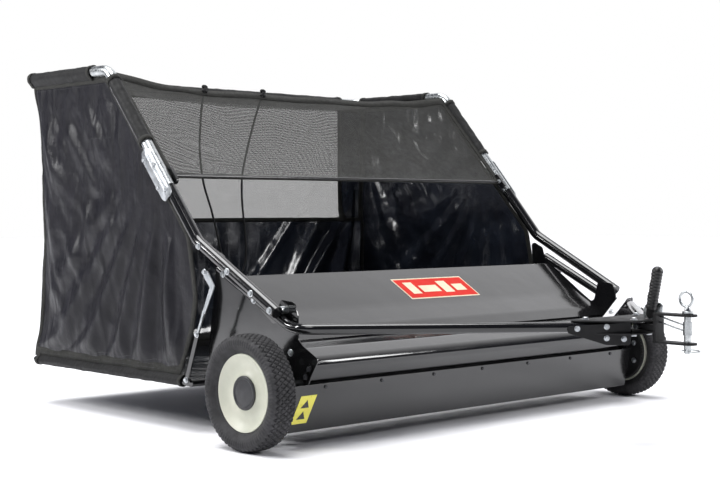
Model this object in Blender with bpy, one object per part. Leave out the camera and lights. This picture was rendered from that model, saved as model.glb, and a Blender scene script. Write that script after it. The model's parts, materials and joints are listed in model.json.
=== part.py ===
"""A tow-behind lawn sweeper, modelled as separate parts.

Two wheels carry a pressed-steel brush housing.  A ring gear inside each wheel drives a pinion on
the brush shaft, and the brush throws leaves and grass back into a fabric hopper on a tube frame.
Two tubes converge in front on a hitch with a drop-in pin and a height lever.

Metres.  +X is the machine's left-to-right direction seen from the front, -Y is the front (hitch),
+Y the rear (hopper) and +Z is up.  The ground is z = 0.  The helpers below take y measured from
the wheel axle, and add AXLE_Y, which puts the origin under the middle of the whole machine.
"""
import math

import bmesh
import bpy
from mathutils import Matrix, Vector

# ---------------------------------------------------------------- driving dimensions
AXLE_Y = -0.19801           # axle's place in the frame whose origin is the bounding box's middle
GAP = 0.0003                # clearance left between pieces that touch
SIDES = (("left", -1), ("right", 1))

TYRE_RADIUS = 0.1335
TYRE_HALF_WIDTH = 0.034
TRACK_HALF = 0.708          # wheel centre plane to the machine's middle
RIM_RADIUS = 0.0895
AXLE_RADIUS = 0.0095
AXLE_Z = TYRE_RADIUS

GEAR_MODULE = 0.0027
RING_TEETH = 56
PINION_TEETH = 10
GEAR_WIDTH = 0.014
GEAR_PLANE = 0.689          # middle plane of each gear pair
PRESSURE_ANGLE = math.radians(20)
BACKLASH = 0.0006
CENTRE_DISTANCE = GEAR_MODULE * (RING_TEETH - PINION_TEETH) / 2
BRUSH_ANGLE = math.radians(-10)     # direction from the axle to the brush shaft, 0 is rearward
BRUSH_Y = CENTRE_DISTANCE * math.cos(BRUSH_ANGLE)
BRUSH_Z = AXLE_Z + CENTRE_DISTANCE * math.sin(BRUSH_ANGLE)
BRUSH_RADIUS = 0.098
BRUSH_ROWS = 4
CORE_RADIUS = 0.021
SHAFT_RADIUS = 0.0079

SHEET = 0.002               # housing sheet steel
PLATE = 0.003               # side plates and brackets
SIDE_X = 0.602              # outer face of each side plate
HOOD_REAR = (0.208, 0.389)
HOOD_FRONT = (-0.004, 0.246)
SEAM = (-0.072, 0.153)
SKIRT_BOTTOM = (-0.050, 0.038)
SKIRT_HALF = 0.636          # the skirt runs past the side plates, in front of their edges

HOPPER_X = 0.640            # hopper tube centre planes
HOPPER_TUBE = 0.0145
PIVOT = (-0.006, 0.316)     # where the hopper arms hinge on the side plates
ELBOW = (0.281, 0.468)
CORNER = (0.672, 0.912)
REAR_TOP = (1.088, 0.912)
REAR_JOINT = 0.420          # where each bow meets the middle bar, from the machine's middle
SPLICE = 0.30               # share of the steep run where the lower tube meets the upper one
FLOOR_FRONT = 0.302
FLOOR_REAR = 1.062
FLOOR_Z = 0.122
FLOOR_TUBE = 0.0095
REAR_WALL = 1.048           # the bag's rear wall, and the sill of the mesh window in it
WINDOW_SILL = 0.520
GUARD_HEM = (0.411, 0.626)  # lower edge of the mesh flap over the hopper's mouth
FABRIC = 0.005              # thickness that each fabric panel's solid is given

ROPE_RADIUS = 0.0030
HITCH_TUBE = 0.0125
HITCH_X = 0.615
YOKE_PIVOT = (-0.560, 0.277)
PIN_Y = -0.684
PLATE_UPPER_Z = 0.3085
PLATE_LOWER_Z = 0.2445
LEVER_PIVOT = (-0.568, 0.3050)
LEVER_X = 0.0205           # inner face of the lever's strap
LEVER_LEAN = math.radians(11)
QUADRANT_RADIUS = 0.030
PIN_RADIUS = 0.0078


# ---------------------------------------------------------------- helpers
def at(x, y, z):
    """A point given from the axle's y, as a point of the frame."""
    return Vector((x, AXLE_Y + y, z))


def clear_scene():
    for obj in list(bpy.data.objects):
        bpy.data.objects.remove(obj, do_unlink=True)


def material(name, colour, roughness, metallic=0.0):
    mat = bpy.data.materials.get(name)
    if mat is None:
        mat = bpy.data.materials.new(name)
        mat.use_nodes = True
        shader = mat.node_tree.nodes["Principled BSDF"]
        shader.inputs["Base Color"].default_value = (*colour, 1)
        shader.inputs["Roughness"].default_value = roughness
        shader.inputs["Metallic"].default_value = metallic
    return mat


def paint_black():
    return material("black_enamel", (0.012, 0.012, 0.013), 0.22)


def zinc():
    return material("zinc_plate", (0.62, 0.63, 0.64), 0.34, 1.0)


def fabric():
    return material("bag_fabric", (0.02, 0.02, 0.025), 0.85)


def mesh_cloth():
    return material("bag_mesh", (0.11, 0.11, 0.11), 0.8)


def rubber():
    return material("tyre_rubber", (0.025, 0.025, 0.025), 0.8)


def add_object(name, bm, mat, smooth=False):
    """One closed body from a bmesh, with its faces pointing out."""
    bmesh.ops.recalc_face_normals(bm, faces=bm.faces)
    if bm.calc_volume(signed=True) < 0:
        bmesh.ops.reverse_faces(bm, faces=bm.faces)
    mesh = bpy.data.meshes.new(name)
    bm.to_mesh(mesh)
    bm.free()
    if smooth:
        mesh.shade_smooth()
        mesh.set_sharp_from_angle(angle=math.radians(35))
    obj = bpy.data.objects.new(name, mesh)
    bpy.context.scene.collection.objects.link(obj)
    if mat:
        mesh.materials.append(mat)
    return obj


def rounded(points, radius, steps=6, closed=False):
    """The points with each corner replaced by an arc of the given radius (a number or a list)."""
    pts = [Vector(p) for p in points]
    count = len(pts)
    out = []
    for i, p in enumerate(pts):
        r = radius[i] if isinstance(radius, (list, tuple)) else radius
        if (not closed and i in (0, count - 1)) or r <= 0:
            out.append(p)
            continue
        a = (pts[i - 1] - p).normalized()
        b = (pts[(i + 1) % count] - p).normalized()
        half = a.angle(b) / 2
        if half > math.radians(88.5):
            out.append(p)
            continue
        reach = r / math.tan(half)
        centre = p + (a + b).normalized() * (r / math.sin(half))
        start = p + a * reach - centre
        end = p + b * reach - centre
        sweep = start.angle(end)
        for k in range(steps + 1):
            t = k / steps
            mix = (start * math.sin((1 - t) * sweep) + end * math.sin(t * sweep)) / math.sin(sweep)
            out.append(centre + mix)
    return out


def sheet_outline(points, thickness):
    """A polyline in (y, z) thickened to its right-hand side, as one closed outline."""
    pts = [Vector(p) for p in points]
    inner = []
    for i, p in enumerate(pts):
        back = (p - pts[i - 1]).normalized() if i else None
        ahead = (pts[i + 1] - p).normalized() if i < len(pts) - 1 else None
        back = back or ahead
        ahead = ahead or back
        normal = Vector((back.y + ahead.y, -back.x - ahead.x)).normalized()
        scale = 1 / max(0.5, normal.dot(Vector((back.y, -back.x))))
        inner.append(p + normal * thickness * scale)
    return pts + inner[::-1]


def prism(name, outline, x0, x1, mat, smooth=False):
    """A closed (y, z) outline extruded along X from x0 to x1."""
    bm = bmesh.new()
    face = bm.faces.new([bm.verts.new(at(x0, p[0], p[1])) for p in outline])
    grown = bmesh.ops.extrude_face_region(bm, geom=[face])
    moved = [g for g in grown["geom"] if isinstance(g, bmesh.types.BMVert)]
    bmesh.ops.translate(bm, verts=moved, vec=(x1 - x0, 0, 0))
    return add_object(name, bm, mat, smooth)


def slab(name, outline, z0, z1, mat):
    """A closed (x, y) outline extruded up from z0 to z1."""
    bm = bmesh.new()
    face = bm.faces.new([bm.verts.new(at(p[0], p[1], z0)) for p in outline])
    grown = bmesh.ops.extrude_face_region(bm, geom=[face])
    moved = [g for g in grown["geom"] if isinstance(g, bmesh.types.BMVert)]
    bmesh.ops.translate(bm, verts=moved, vec=(0, 0, z1 - z0))
    return add_object(name, bm, mat)


def box(name, low, high, mat):
    """A block between two corners, y from the axle."""
    bm = bmesh.new()
    size = Vector(high) - Vector(low)
    middle = (Vector(high) + Vector(low)) / 2
    bmesh.ops.create_cube(bm, size=1)
    bmesh.ops.scale(bm, vec=size, verts=bm.verts)
    bmesh.ops.translate(bm, vec=at(*middle), verts=bm.verts)
    return add_object(name, bm, mat)


def turned(name, profile, centre, side, mat, steps=40):
    """A closed (x outward, radius) profile spun about an axis along X through centre."""
    bm = bmesh.new()
    verts = [bm.verts.new((side * p[0], 0, p[1])) for p in profile]
    edges = [bm.edges.new((verts[i], verts[i - 1])) for i in range(len(verts))]
    bmesh.ops.spin(bm, geom=verts + edges, axis=(1, 0, 0), cent=(0, 0, 0), steps=steps,
                   angle=2 * math.pi, use_merge=True)
    bmesh.ops.remove_doubles(bm, verts=bm.verts, dist=1e-6)
    bmesh.ops.translate(bm, verts=bm.verts, vec=centre)
    return add_object(name, bm, mat, smooth=True)


def rod(name, start, end, radius, mat, sides=12):
    """A plain round bar between two points."""
    bm = bmesh.new()
    span = end - start
    turn = span.to_track_quat("Z", "Y").to_matrix().to_4x4()
    bmesh.ops.create_cone(bm, cap_ends=True, segments=sides, radius1=radius, radius2=radius,
                          depth=span.length,
                          matrix=Matrix.Translation((start + end) / 2) @ turn)
    return add_object(name, bm, mat, smooth=True)


def tube(name, points, radius, mat, resolution=3):
    """A bent bar along points of the frame."""
    curve = bpy.data.curves.new(name, "CURVE")
    curve.dimensions = "3D"
    curve.bevel_depth = radius
    curve.bevel_resolution = resolution
    curve.use_fill_caps = True
    spline = curve.splines.new("POLY")
    spline.points.add(len(points) - 1)
    for target, p in zip(spline.points, points):
        target.co = (*p, 1)
    curve.materials.append(mat)
    obj = bpy.data.objects.new(name, curve)
    bpy.context.scene.collection.objects.link(obj)
    return obj


def boolean(obj, other, operation):
    """Joins other into obj or cuts it out, and leaves other as a hidden guide."""
    other.hide_render = True
    other.display_type = "WIRE"
    step = obj.modifiers.new(operation.lower(), "BOOLEAN")
    step.operation = operation
    step.object = other


def set_on_axis(obj, pivot):
    """Moves an object's origin onto its joint's axis without moving its mesh."""
    obj.data.transform(Matrix.Translation(-pivot))
    obj.location = pivot


def arc(centre, radius, start, end, steps):
    """Points of an arc in a plane, angles in degrees."""
    out = []
    for k in range(steps + 1):
        a = math.radians(start + (end - start) * k / steps)
        out.append(Vector((centre[0] + radius * math.cos(a), centre[1] + radius * math.sin(a))))
    return out


def between(a, b, t):
    return (a[0] + (b[0] - a[0]) * t, a[1] + (b[1] - a[1]) * t)


# ---------------------------------------------------------------- gears
def involute_half_angle(radius, pitch_radius, half_thickness_angle):
    """Half the angle that a tooth spans at radius, for an external involute tooth."""
    base = pitch_radius * math.cos(PRESSURE_ANGLE)
    at_pitch = math.tan(PRESSURE_ANGLE) - PRESSURE_ANGLE
    if radius <= base:
        return half_thickness_angle + at_pitch
    roll = math.acos(base / radius)
    return half_thickness_angle + at_pitch - (math.tan(roll) - roll)


def tooth_ring(teeth, radii, thickness, phase):
    """A toothed outline in (angle direction) from root to tip and back, tooth by tooth."""
    pitch_radius = GEAR_MODULE * teeth / 2
    half = thickness / pitch_radius / 2
    out = []
    for tooth in range(teeth):
        middle = phase + 2 * math.pi * tooth / teeth
        for sign, order in ((-1, radii), (1, radii[::-1])):
            for r in order:
                a = middle + sign * involute_half_angle(r, pitch_radius, half)
                out.append(Vector((r * math.cos(a), r * math.sin(a))))
    return out


def pinion(side_name, side, centre):
    pitch = GEAR_MODULE * PINION_TEETH / 2
    radii = [pitch - 1.2 * GEAR_MODULE, 0.0127, 0.0139, 0.0151, pitch + GEAR_MODULE]
    thickness = math.pi * GEAR_MODULE / 2 - BACKLASH / 2
    outline = tooth_ring(PINION_TEETH, radii, thickness, BRUSH_ANGLE)
    bm = bmesh.new()
    x0 = side * (GEAR_PLANE - GEAR_WIDTH / 2)
    x1 = side * (GEAR_PLANE + GEAR_WIDTH / 2)
    bore = arc((0, 0), SHAFT_RADIUS + GAP, 0, 360 - 360 / 20, 19)
    toothed_ring_solid(bm, outline, bore, x0, x1, centre)
    obj = add_object("brush_pinion_" + side_name, bm, material("gear_steel", (0.3, 0.3, 0.3), 0.4, 1))
    set_on_axis(obj, centre)


def ring_gear(side_name, side, centre):
    """An internal gear: its spaces are teeth of an external outline that faces outward."""
    pitch = GEAR_MODULE * RING_TEETH / 2
    radii = [pitch - 0.5 * GEAR_MODULE, pitch + 0.35 * GEAR_MODULE, pitch + 1.25 * GEAR_MODULE]
    space = math.pi * GEAR_MODULE / 2 + BACKLASH / 2
    inner = tooth_ring(RING_TEETH, radii, space, BRUSH_ANGLE)
    outer = arc((0, 0), RIM_RADIUS - 0.0045, 0, 360 - 360 / 40, 39)
    bm = bmesh.new()
    x0 = side * (GEAR_PLANE - GEAR_WIDTH / 2)
    x1 = side * (GEAR_PLANE + GEAR_WIDTH / 2)
    toothed_ring_solid(bm, outer, inner, x0, x1, centre)
    obj = add_object("wheel_ring_gear_" + side_name, bm, material("gear_nylon", (0.05, 0.05, 0.05), 0.5))
    set_on_axis(obj, centre)


def toothed_ring_solid(bm, outer, inner, x0, x1, centre):
    """The flat ring between two closed outlines in (y, z), made into a solid from x0 to x1."""
    loops = []
    for outline in (outer, inner):
        verts = [bm.verts.new((x0, centre.y + p.x, centre.z + p.y)) for p in outline]
        loops += [bm.edges.new((verts[i], verts[i - 1])) for i in range(len(verts))]
    bmesh.ops.triangle_fill(bm, edges=loops, use_beauty=True)
    grown = bmesh.ops.extrude_face_region(bm, geom=list(bm.faces))
    moved = [g for g in grown["geom"] if isinstance(g, bmesh.types.BMVert)]
    bmesh.ops.translate(bm, verts=moved, vec=(x1 - x0, 0, 0))


# ---------------------------------------------------------------- wheels
def wheel(side_name, side):
    centre = at(side * TRACK_HALF, 0, AXLE_Z)
    half, top = TYRE_HALF_WIDTH, TYRE_RADIUS
    shoulder = [(half - 0.017, RIM_RADIUS + GAP), (half - 0.006, 0.096), (half, 0.107),
                (half, 0.118), (half - 0.005, 0.128), (half - 0.014, 0.1328), (0.008, top)]
    outline = shoulder + [(-x, r) for x, r in shoulder[::-1]]
    tyre = turned("tyre_" + side_name, outline, centre, side, rubber(), 40)
    cream = material("rim_cream", (0.78, 0.77, 0.66), 0.5)
    lip = RIM_RADIUS
    rim = [(0.0165, lip), (0.0167, lip - 0.004), (0.011, 0.079), (0.005, 0.066), (0.0035, 0.054),
           (0.006, 0.046), (0.0115, 0.0395), (0.0125, 0.030), (0.0125, AXLE_RADIUS + GAP),
           (-0.026, AXLE_RADIUS + GAP), (-0.026, 0.019), (-0.005, 0.021), (-0.002, 0.030),
           (-0.001, 0.040), (-0.003, 0.053), (-0.002, 0.067), (0.003, 0.077), (0.005, lip - 0.0035),
           (-0.026, lip - 0.0035), (-0.026, lip)]
    disc = turned("wheel_rim_" + side_name, rim, centre, side, cream, 32)
    cap = [(0.0129, 0.0005), (0.0129, 0.0385), (0.0155, 0.0392), (0.0178, 0.036), (0.0188, 0.020),
           (0.0192, 0.0005)]
    cover = turned("hub_cap_" + side_name, cap, centre, side, paint_black(), 24)
    for piece in (tyre, disc, cover):
        set_on_axis(piece, centre)
    ring_gear(side_name, side, centre)


# ---------------------------------------------------------------- brush
def brush():
    centre = at(0, BRUSH_Y, BRUSH_Z)
    reach = GEAR_PLANE + GEAR_WIDTH / 2 + 0.004
    shaft = rod("brush_shaft", centre - Vector((reach, 0, 0)), centre + Vector((reach, 0, 0)),
                SHAFT_RADIUS, zinc(), 20)
    set_on_axis(shaft, centre)
    half_length = SIDE_X - 0.022
    core = turned("brush_core", [(-half_length, SHAFT_RADIUS + GAP), (-half_length, CORE_RADIUS),
                                 (half_length, CORE_RADIUS), (half_length, SHAFT_RADIUS + GAP)],
                  centre, 1, material("core_grey", (0.03, 0.03, 0.03), 0.5), 24)
    set_on_axis(core, centre)
    bristle = material("bristle", (0.015, 0.015, 0.015), 0.7)
    for row in range(BRUSH_ROWS):
        angle = 2 * math.pi * (row + 0.5) / BRUSH_ROWS
        turn = Matrix.Rotation(angle, 4, "X")
        bm = bmesh.new()
        root, tip = CORE_RADIUS + 0.0015, BRUSH_RADIUS
        section = [(-0.005, root), (-0.011, tip - 0.004), (0, tip), (0.011, tip - 0.004), (0.005, root)]
        face = bm.faces.new([bm.verts.new((-half_length + 0.004, p[0], p[1])) for p in section])
        grown = bmesh.ops.extrude_face_region(bm, geom=[face])
        moved = [g for g in grown["geom"] if isinstance(g, bmesh.types.BMVert)]
        bmesh.ops.translate(bm, verts=moved, vec=(2 * half_length - 0.008, 0, 0))
        bm.transform(Matrix.Translation(centre) @ turn)
        strip = add_object("bristle_row_%d" % (row + 1), bm, bristle)
        set_on_axis(strip, centre)
    for side_name, side in SIDES:
        pinion(side_name, side, centre)


# ---------------------------------------------------------------- housing
def hood_line():
    """The hood's top surface in (y, z), rear lip to front break."""
    return rounded([(HOOD_REAR[0] + 0.004, HOOD_REAR[1] - 0.020), HOOD_REAR, (0.085, 0.3020),
                    HOOD_FRONT], [0, 0.006, 0.5, 0], 4)


def panel_line():
    """The bulging front panel in (y, z), from under the hood's edge to the seam."""
    return rounded([(0.010, 0.246), (-0.050, 0.232), (-0.106, 0.206), (-0.080, 0.161),
                    (SEAM[0] + 0.012, SEAM[1] + 0.0005)],
                   [0, 0.05, 0.020, 0.010, 0], 5)


def housing():
    inner = SIDE_X - PLATE - GAP
    prism("hood", sheet_outline(hood_line(), -SHEET), -inner, inner, paint_black(), smooth=True)
    panel = [p - Vector((0, SHEET + 0.0012)) for p in panel_line()]
    prism("front_panel", sheet_outline(panel, -SHEET), -inner, inner, paint_black(), smooth=True)
    skirt = rounded([(SEAM[0], SEAM[1] - 0.006), SKIRT_BOTTOM, (SKIRT_BOTTOM[0] + 0.011, SKIRT_BOTTOM[1])],
                    [0, 0.004, 0], 3)
    prism("front_skirt", sheet_outline(skirt, -SHEET), -SKIRT_HALF, SKIRT_HALF, paint_black(), smooth=True)
    for side_name, side in SIDES:
        side_plate(side_name, side)
    rear_bar = [(0.262, 0.150), (0.262, 0.182), (0.270, 0.182), (0.270, 0.158), (0.282, 0.158),
                (0.282, 0.150)]
    prism("rear_cross_bar", rear_bar, -inner, inner, paint_black())


def side_plate(side_name, side):
    outline = rounded([(0.262, 0.384), (0.268, 0.452), (0.226, 0.432), (0.216, 0.3985),
                       (0.086, 0.3075), (0.034, 0.2735), (0.018, 0.338), (-0.032, 0.334),
                       (-0.044, 0.304), (-0.046, 0.249), (-0.060, 0.237), (-0.116, 0.209),
                       (-0.090, 0.168), (-0.0805, 0.1500), (-0.0670, 0.1495), (-0.0465, 0.044),
                       (0.010, 0.040), (0.160, 0.052), (0.290, 0.120), (0.290, 0.210)],
                      [0.010, 0.010, 0.012, 0.010, 0, 0.012, 0.012, 0.012, 0.010, 0.006, 0.02,
                       0.010, 0.01, 0.001, 0.001, 0.008, 0.03, 0.05, 0.02, 0.02], 3, closed=True)
    x0, x1 = side * (SIDE_X - PLATE), side * SIDE_X
    plate = prism("side_plate_" + side_name, outline, x0, x1, paint_black())
    hole = rod("shaft_cutter_" + side_name, at(side * (SIDE_X - 0.02), BRUSH_Y, BRUSH_Z),
               at(side * (SIDE_X + 0.02), BRUSH_Y, BRUSH_Z), 0.0150, None, 24)
    boolean(plate, hole, "DIFFERENCE")
    axle_hole = rod("axle_cutter_" + side_name, at(side * (SIDE_X - 0.02), 0, AXLE_Z),
                    at(side * (SIDE_X + 0.02), 0, AXLE_Z), AXLE_RADIUS + GAP, None, 20)
    boolean(plate, axle_hole, "DIFFERENCE")
    bearing_centre = at(side * SIDE_X, BRUSH_Y, BRUSH_Z)
    bearing = [(GAP, 0.0085), (GAP, 0.023), (0.004, 0.023), (0.004, 0.0135), (0.016, 0.0130),
               (0.016, 0.0085)]
    turned("brush_bearing_" + side_name, bearing, bearing_centre, side,
           material("bearing_nylon", (0.7, 0.7, 0.66), 0.5), 24)
    axle_centre = at(side * SIDE_X, 0, AXLE_Z)
    end = TRACK_HALF + 0.0118 - SIDE_X
    start = TRACK_HALF - 0.0265 - SIDE_X
    axle = [(-0.012, 0.0005), (-0.012, 0.014), (-PLATE - GAP, 0.014), (-PLATE - GAP, AXLE_RADIUS),
            (GAP, AXLE_RADIUS), (GAP, 0.0165), (start, 0.0165), (start, AXLE_RADIUS), (end, AXLE_RADIUS),
            (end, 0.0005)]
    turned("axle_" + side_name, axle, axle_centre, side, zinc(), 20)


# ---------------------------------------------------------------- hitch
def hitch():
    for side_name, side in SIDES:
        upper = at(side * HITCH_X, 0.226, 0.4040)
        low = at(side * HITCH_X, -0.034, YOKE_PIVOT[1] + 0.0005)
        bend = at(side * HITCH_X, -0.084, YOKE_PIVOT[1] - 0.0010)
        toe = at(side * 0.036, -0.556, YOKE_PIVOT[1])
        level = bend.lerp(toe, 0.76)
        level.z = toe.z
        path = rounded([upper, low, bend, level, toe], [0, 0.110, 0.045, 0, 0], 6)
        tube("hitch_tube_" + side_name, path, HITCH_TUBE, paint_black(), 2)
    top = YOKE_PIVOT[1] + HITCH_TUBE
    bracket = rounded([(-0.062, -0.575), (-0.030, -0.585), (0.030, -0.585), (0.062, -0.575),
                       (0.150, -0.468), (0.120, -0.456), (-0.120, -0.456), (-0.150, -0.468)],
                      0.008, 2, closed=True)
    low = YOKE_PIVOT[1] - HITCH_TUBE
    slab("hitch_plate_top", bracket, top + GAP, top + GAP + PLATE, paint_black())
    slab("hitch_plate_bottom", bracket, low - GAP - PLATE, low - GAP, paint_black())
    rod("yoke_pivot_bolt", at(-0.022, *YOKE_PIVOT), at(0.022, *YOKE_PIVOT), 0.0045, zinc(), 12)
    quadrant()


def quadrant():
    """The notched plate beside the lever that holds it at each height."""
    centre = LEVER_PIVOT
    foot = YOKE_PIVOT[1] + HITCH_TUBE + 2 * GAP + PLATE
    outline = [Vector((centre[0] + 0.029, foot))]
    outline += arc(centre, QUADRANT_RADIUS, 0, 140, 12)
    outline += [Vector((centre[0] - 0.020, foot))]
    near = LEVER_X + 0.017
    plate = prism("lever_quadrant", outline, near, near + PLATE, zinc())
    for k in range(5):
        a = math.radians(66 + 12.5 * k)
        tip = (centre[0] + QUADRANT_RADIUS * math.cos(a), centre[1] + QUADRANT_RADIUS * math.sin(a))
        cutter = rod("notch_cutter_%d" % k, at(near - 0.01, *tip), at(near + 0.01, *tip), 0.0023, None, 8)
        boolean(plate, cutter, "DIFFERENCE")


def lever():
    """The height lever stands on its own pivot in front of the hitch plates."""
    centre = LEVER_PIVOT
    pivot = at(LEVER_X, *centre)
    up = Vector((-math.sin(LEVER_LEAN), math.cos(LEVER_LEAN)))
    across = Vector((up.y, -up.x))
    base = Vector(centre)
    half = 0.011
    outline = [base + across * half, base + up * 0.105 + across * 0.008,
               base + up * 0.105 - across * 0.008, base - across * half]
    outline += [base + (across * -math.cos(a) - up * math.sin(a)) * half
                for a in (math.pi * k / 8 for k in range(1, 8))]
    strap = prism("height_lever", outline, LEVER_X, LEVER_X + 0.005, paint_black())
    set_on_axis(strap, pivot)
    grip_base = base + up * 0.012
    profile = [(0, 0.0114), (0, 0.0125), (0.084, 0.0128), (0.095, 0.0105), (0.0995, 0.005), (0.1005, 0.0005),
               (0.0945, 0.0005), (0.0945, 0.0114)]
    bm = bmesh.new()
    verts = [bm.verts.new((0, p[1], p[0])) for p in profile]
    edges = [bm.edges.new((verts[i], verts[i - 1])) for i in range(len(verts))]
    bmesh.ops.spin(bm, geom=verts + edges, axis=(0, 0, 1), cent=(0, 0, 0), steps=20,
                   angle=2 * math.pi, use_merge=True)
    bmesh.ops.remove_doubles(bm, verts=bm.verts, dist=1e-6)
    place = Matrix.Translation(at(LEVER_X + 0.0025, *grip_base)) @ Matrix.Rotation(LEVER_LEAN, 4, "X")
    bm.transform(place)
    grip = add_object("lever_grip", bm, material("grip_vinyl", (0.012, 0.012, 0.012), 0.45), True)
    set_on_axis(grip, pivot)


def yoke():
    """The bent U bracket whose two tongues take the pin, with a lug back to its pivot bolt."""
    outline = [Vector((-0.017, -0.602)), Vector((0.017, -0.602)), Vector((0.019, PIN_Y - 0.004))]
    outline += [Vector((0.019 * math.cos(a), PIN_Y - 0.004 - 0.018 * math.sin(a)))
                for a in (math.pi * k / 8 for k in range(1, 8))]
    outline += [Vector((-0.019, PIN_Y - 0.004))]
    half = 0.0025
    tongue = slab("hitch_tongue", outline, PLATE_UPPER_Z - half, PLATE_UPPER_Z + half, paint_black())
    lower = slab("tongue_lower_guide", outline, PLATE_LOWER_Z - half, PLATE_LOWER_Z + half, None)
    web = box("tongue_web_guide", (-0.0165, -0.610, PLATE_LOWER_Z), (0.0165, -0.603, PLATE_UPPER_Z), None)
    lug = box("tongue_lug_guide", (-0.012, -0.606, 0.2705), (0.012, YOKE_PIVOT[0] + 0.009, 0.2835), None)
    for piece in (lower, web, lug):
        boolean(tongue, piece, "UNION")
    hole = rod("pin_cutter", at(0, PIN_Y, 0.2), at(0, PIN_Y, 0.36), PIN_RADIUS + 0.0006, None, 20)
    boolean(tongue, hole, "DIFFERENCE")
    bolt_hole = rod("yoke_bolt_cutter", at(-0.03, *YOKE_PIVOT), at(0.03, *YOKE_PIVOT), 0.0048, None, 12)
    boolean(tongue, bolt_hole, "DIFFERENCE")


def hitch_pin():
    """A bent wire ring on top of a straight pin."""
    low, collar = 0.222, PLATE_UPPER_Z + 0.0025 + GAP
    ring_centre = at(0, PIN_Y + 0.004, 0.345)
    radius = 0.0165
    wire = 0.0029
    pin = rod("hitch_pin", at(0, PIN_Y, low), at(0, PIN_Y, collar + 0.0185), PIN_RADIUS, zinc(), 20)
    head = rod("pin_collar_guide", at(0, PIN_Y, collar), at(0, PIN_Y, collar + 0.007),
               PIN_RADIUS + 0.0045, zinc(), 20)
    boolean(pin, head, "UNION")
    hole = rod("clip_hole_cutter", at(-0.02, PIN_Y, 0.2305), at(0.02, PIN_Y, 0.2305), 0.0024, None, 12)
    boolean(pin, hole, "DIFFERENCE")
    loop = bmesh.new()
    ring = 24
    section = 8
    rows = []
    for i in range(ring):
        a = 2 * math.pi * i / ring
        mid = ring_centre + Vector((0, math.cos(a), math.sin(a))) * radius
        out = Vector((0, math.cos(a), math.sin(a)))
        row = []
        for j in range(section):
            b = 2 * math.pi * j / section
            row.append(loop.verts.new(mid + out * wire * math.cos(b) + Vector((wire * math.sin(b), 0, 0))))
        rows.append(row)
    for i in range(ring):
        for j in range(section):
            loop.faces.new((rows[i][j], rows[i][(j + 1) % section],
                            rows[(i + 1) % ring][(j + 1) % section], rows[(i + 1) % ring][j]))
    handle = add_object("pin_ring_guide", loop, zinc(), True)
    boolean(pin, handle, "UNION")


def hairpin_clip():
    """The spring clip through the foot of the pin, with its round eye forward."""
    wire = 0.0016
    z = 0.2305
    points = [at(-0.022, PIN_Y, z), at(0.016, PIN_Y, z)]
    points += [at(0.016 + 0.0085 * math.sin(a), PIN_Y - 0.0105 + 0.0105 * math.cos(a), z - 0.004 * k / 8)
               for k, a in ((k, math.pi * k / 8) for k in range(1, 9))]
    points += [at(0.004, PIN_Y - 0.0155, z - 0.004), at(-0.006, PIN_Y - 0.0125, z - 0.004),
               at(-0.022, PIN_Y - 0.018, z - 0.004)]
    tube("hairpin_clip", points, wire, zinc(), 2)


# ---------------------------------------------------------------- hopper frame
def hopper_frame():
    splice = between(ELBOW, CORNER, SPLICE)
    direction = (Vector(CORNER) - Vector(ELBOW)).normalized()
    gap = direction * 0.0015
    low_end = Vector(splice) - gap
    high_start = Vector(splice) + gap
    for side_name, side in SIDES:
        x = side * HOPPER_X
        lower = rounded([at(x, PIVOT[0] - 0.0105, PIVOT[1] - 0.0046), at(x, *ELBOW), at(x, *low_end)],
                        [0, 0.07, 0], 6)
        tube("hopper_arm_" + side_name, lower, HOPPER_TUBE, paint_black(), 3)
        upper = rounded([at(x, *high_start), at(x, *CORNER), at(x, *REAR_TOP),
                         at(side * REAR_JOINT, *REAR_TOP)], [0, 0.055, 0.045, 0], 8)
        tube("hopper_bow_" + side_name, upper, HOPPER_TUBE, zinc(), 3)
        splice_bracket(side_name, side, splice, direction)
        strut(side_name, side)
        pivot_bolt(side_name, side)
    rear_reach = REAR_JOINT - GAP
    rod("rear_top_bar", at(-rear_reach, *REAR_TOP), at(rear_reach, *REAR_TOP), HOPPER_TUBE - 0.001,
        paint_black())
    reach = HOPPER_X + FLOOR_TUBE
    rod("floor_front_rail", at(-reach, FLOOR_FRONT, FLOOR_Z), at(reach, FLOOR_FRONT, FLOOR_Z),
        FLOOR_TUBE, paint_black())
    start = FLOOR_FRONT + FLOOR_TUBE + GAP
    frame = rounded([at(-HOPPER_X, start, FLOOR_Z), at(-HOPPER_X, FLOOR_REAR, FLOOR_Z),
                     at(HOPPER_X, FLOOR_REAR, FLOOR_Z), at(HOPPER_X, start, FLOOR_Z)], 0.025, 5)
    tube("floor_frame", frame, FLOOR_TUBE, paint_black(), 2)


def splice_bracket(side_name, side, splice, direction):
    """The galvanised strap bolted across the joint of the lower and upper tubes."""
    across = Vector((direction.y, -direction.x))
    middle = Vector(splice) + across * 0.010 + direction * 0.050
    half_length, half_width = 0.080, 0.019
    corners = [middle - direction * half_length - across * half_width,
               middle - direction * half_length + across * half_width,
               middle + direction * half_length + across * half_width,
               middle + direction * half_length - across * half_width]
    x0 = side * (HOPPER_X + HOPPER_TUBE + GAP)
    plate = prism("splice_bracket_" + side_name, rounded(corners, 0.010, 4, closed=True),
                  x0, x0 + side * PLATE, zinc())
    for k, offset in enumerate((-0.062, -0.036, 0.022, 0.062)):
        spot = middle + direction * offset
        bolt = rod("bolt_guide_%s_%d" % (side_name, k), at(x0 + side * 0.001, *spot),
                   at(x0 + side * (PLATE + 0.005), *spot), 0.0062, None, 6)
        boolean(plate, bolt, "UNION")


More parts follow.
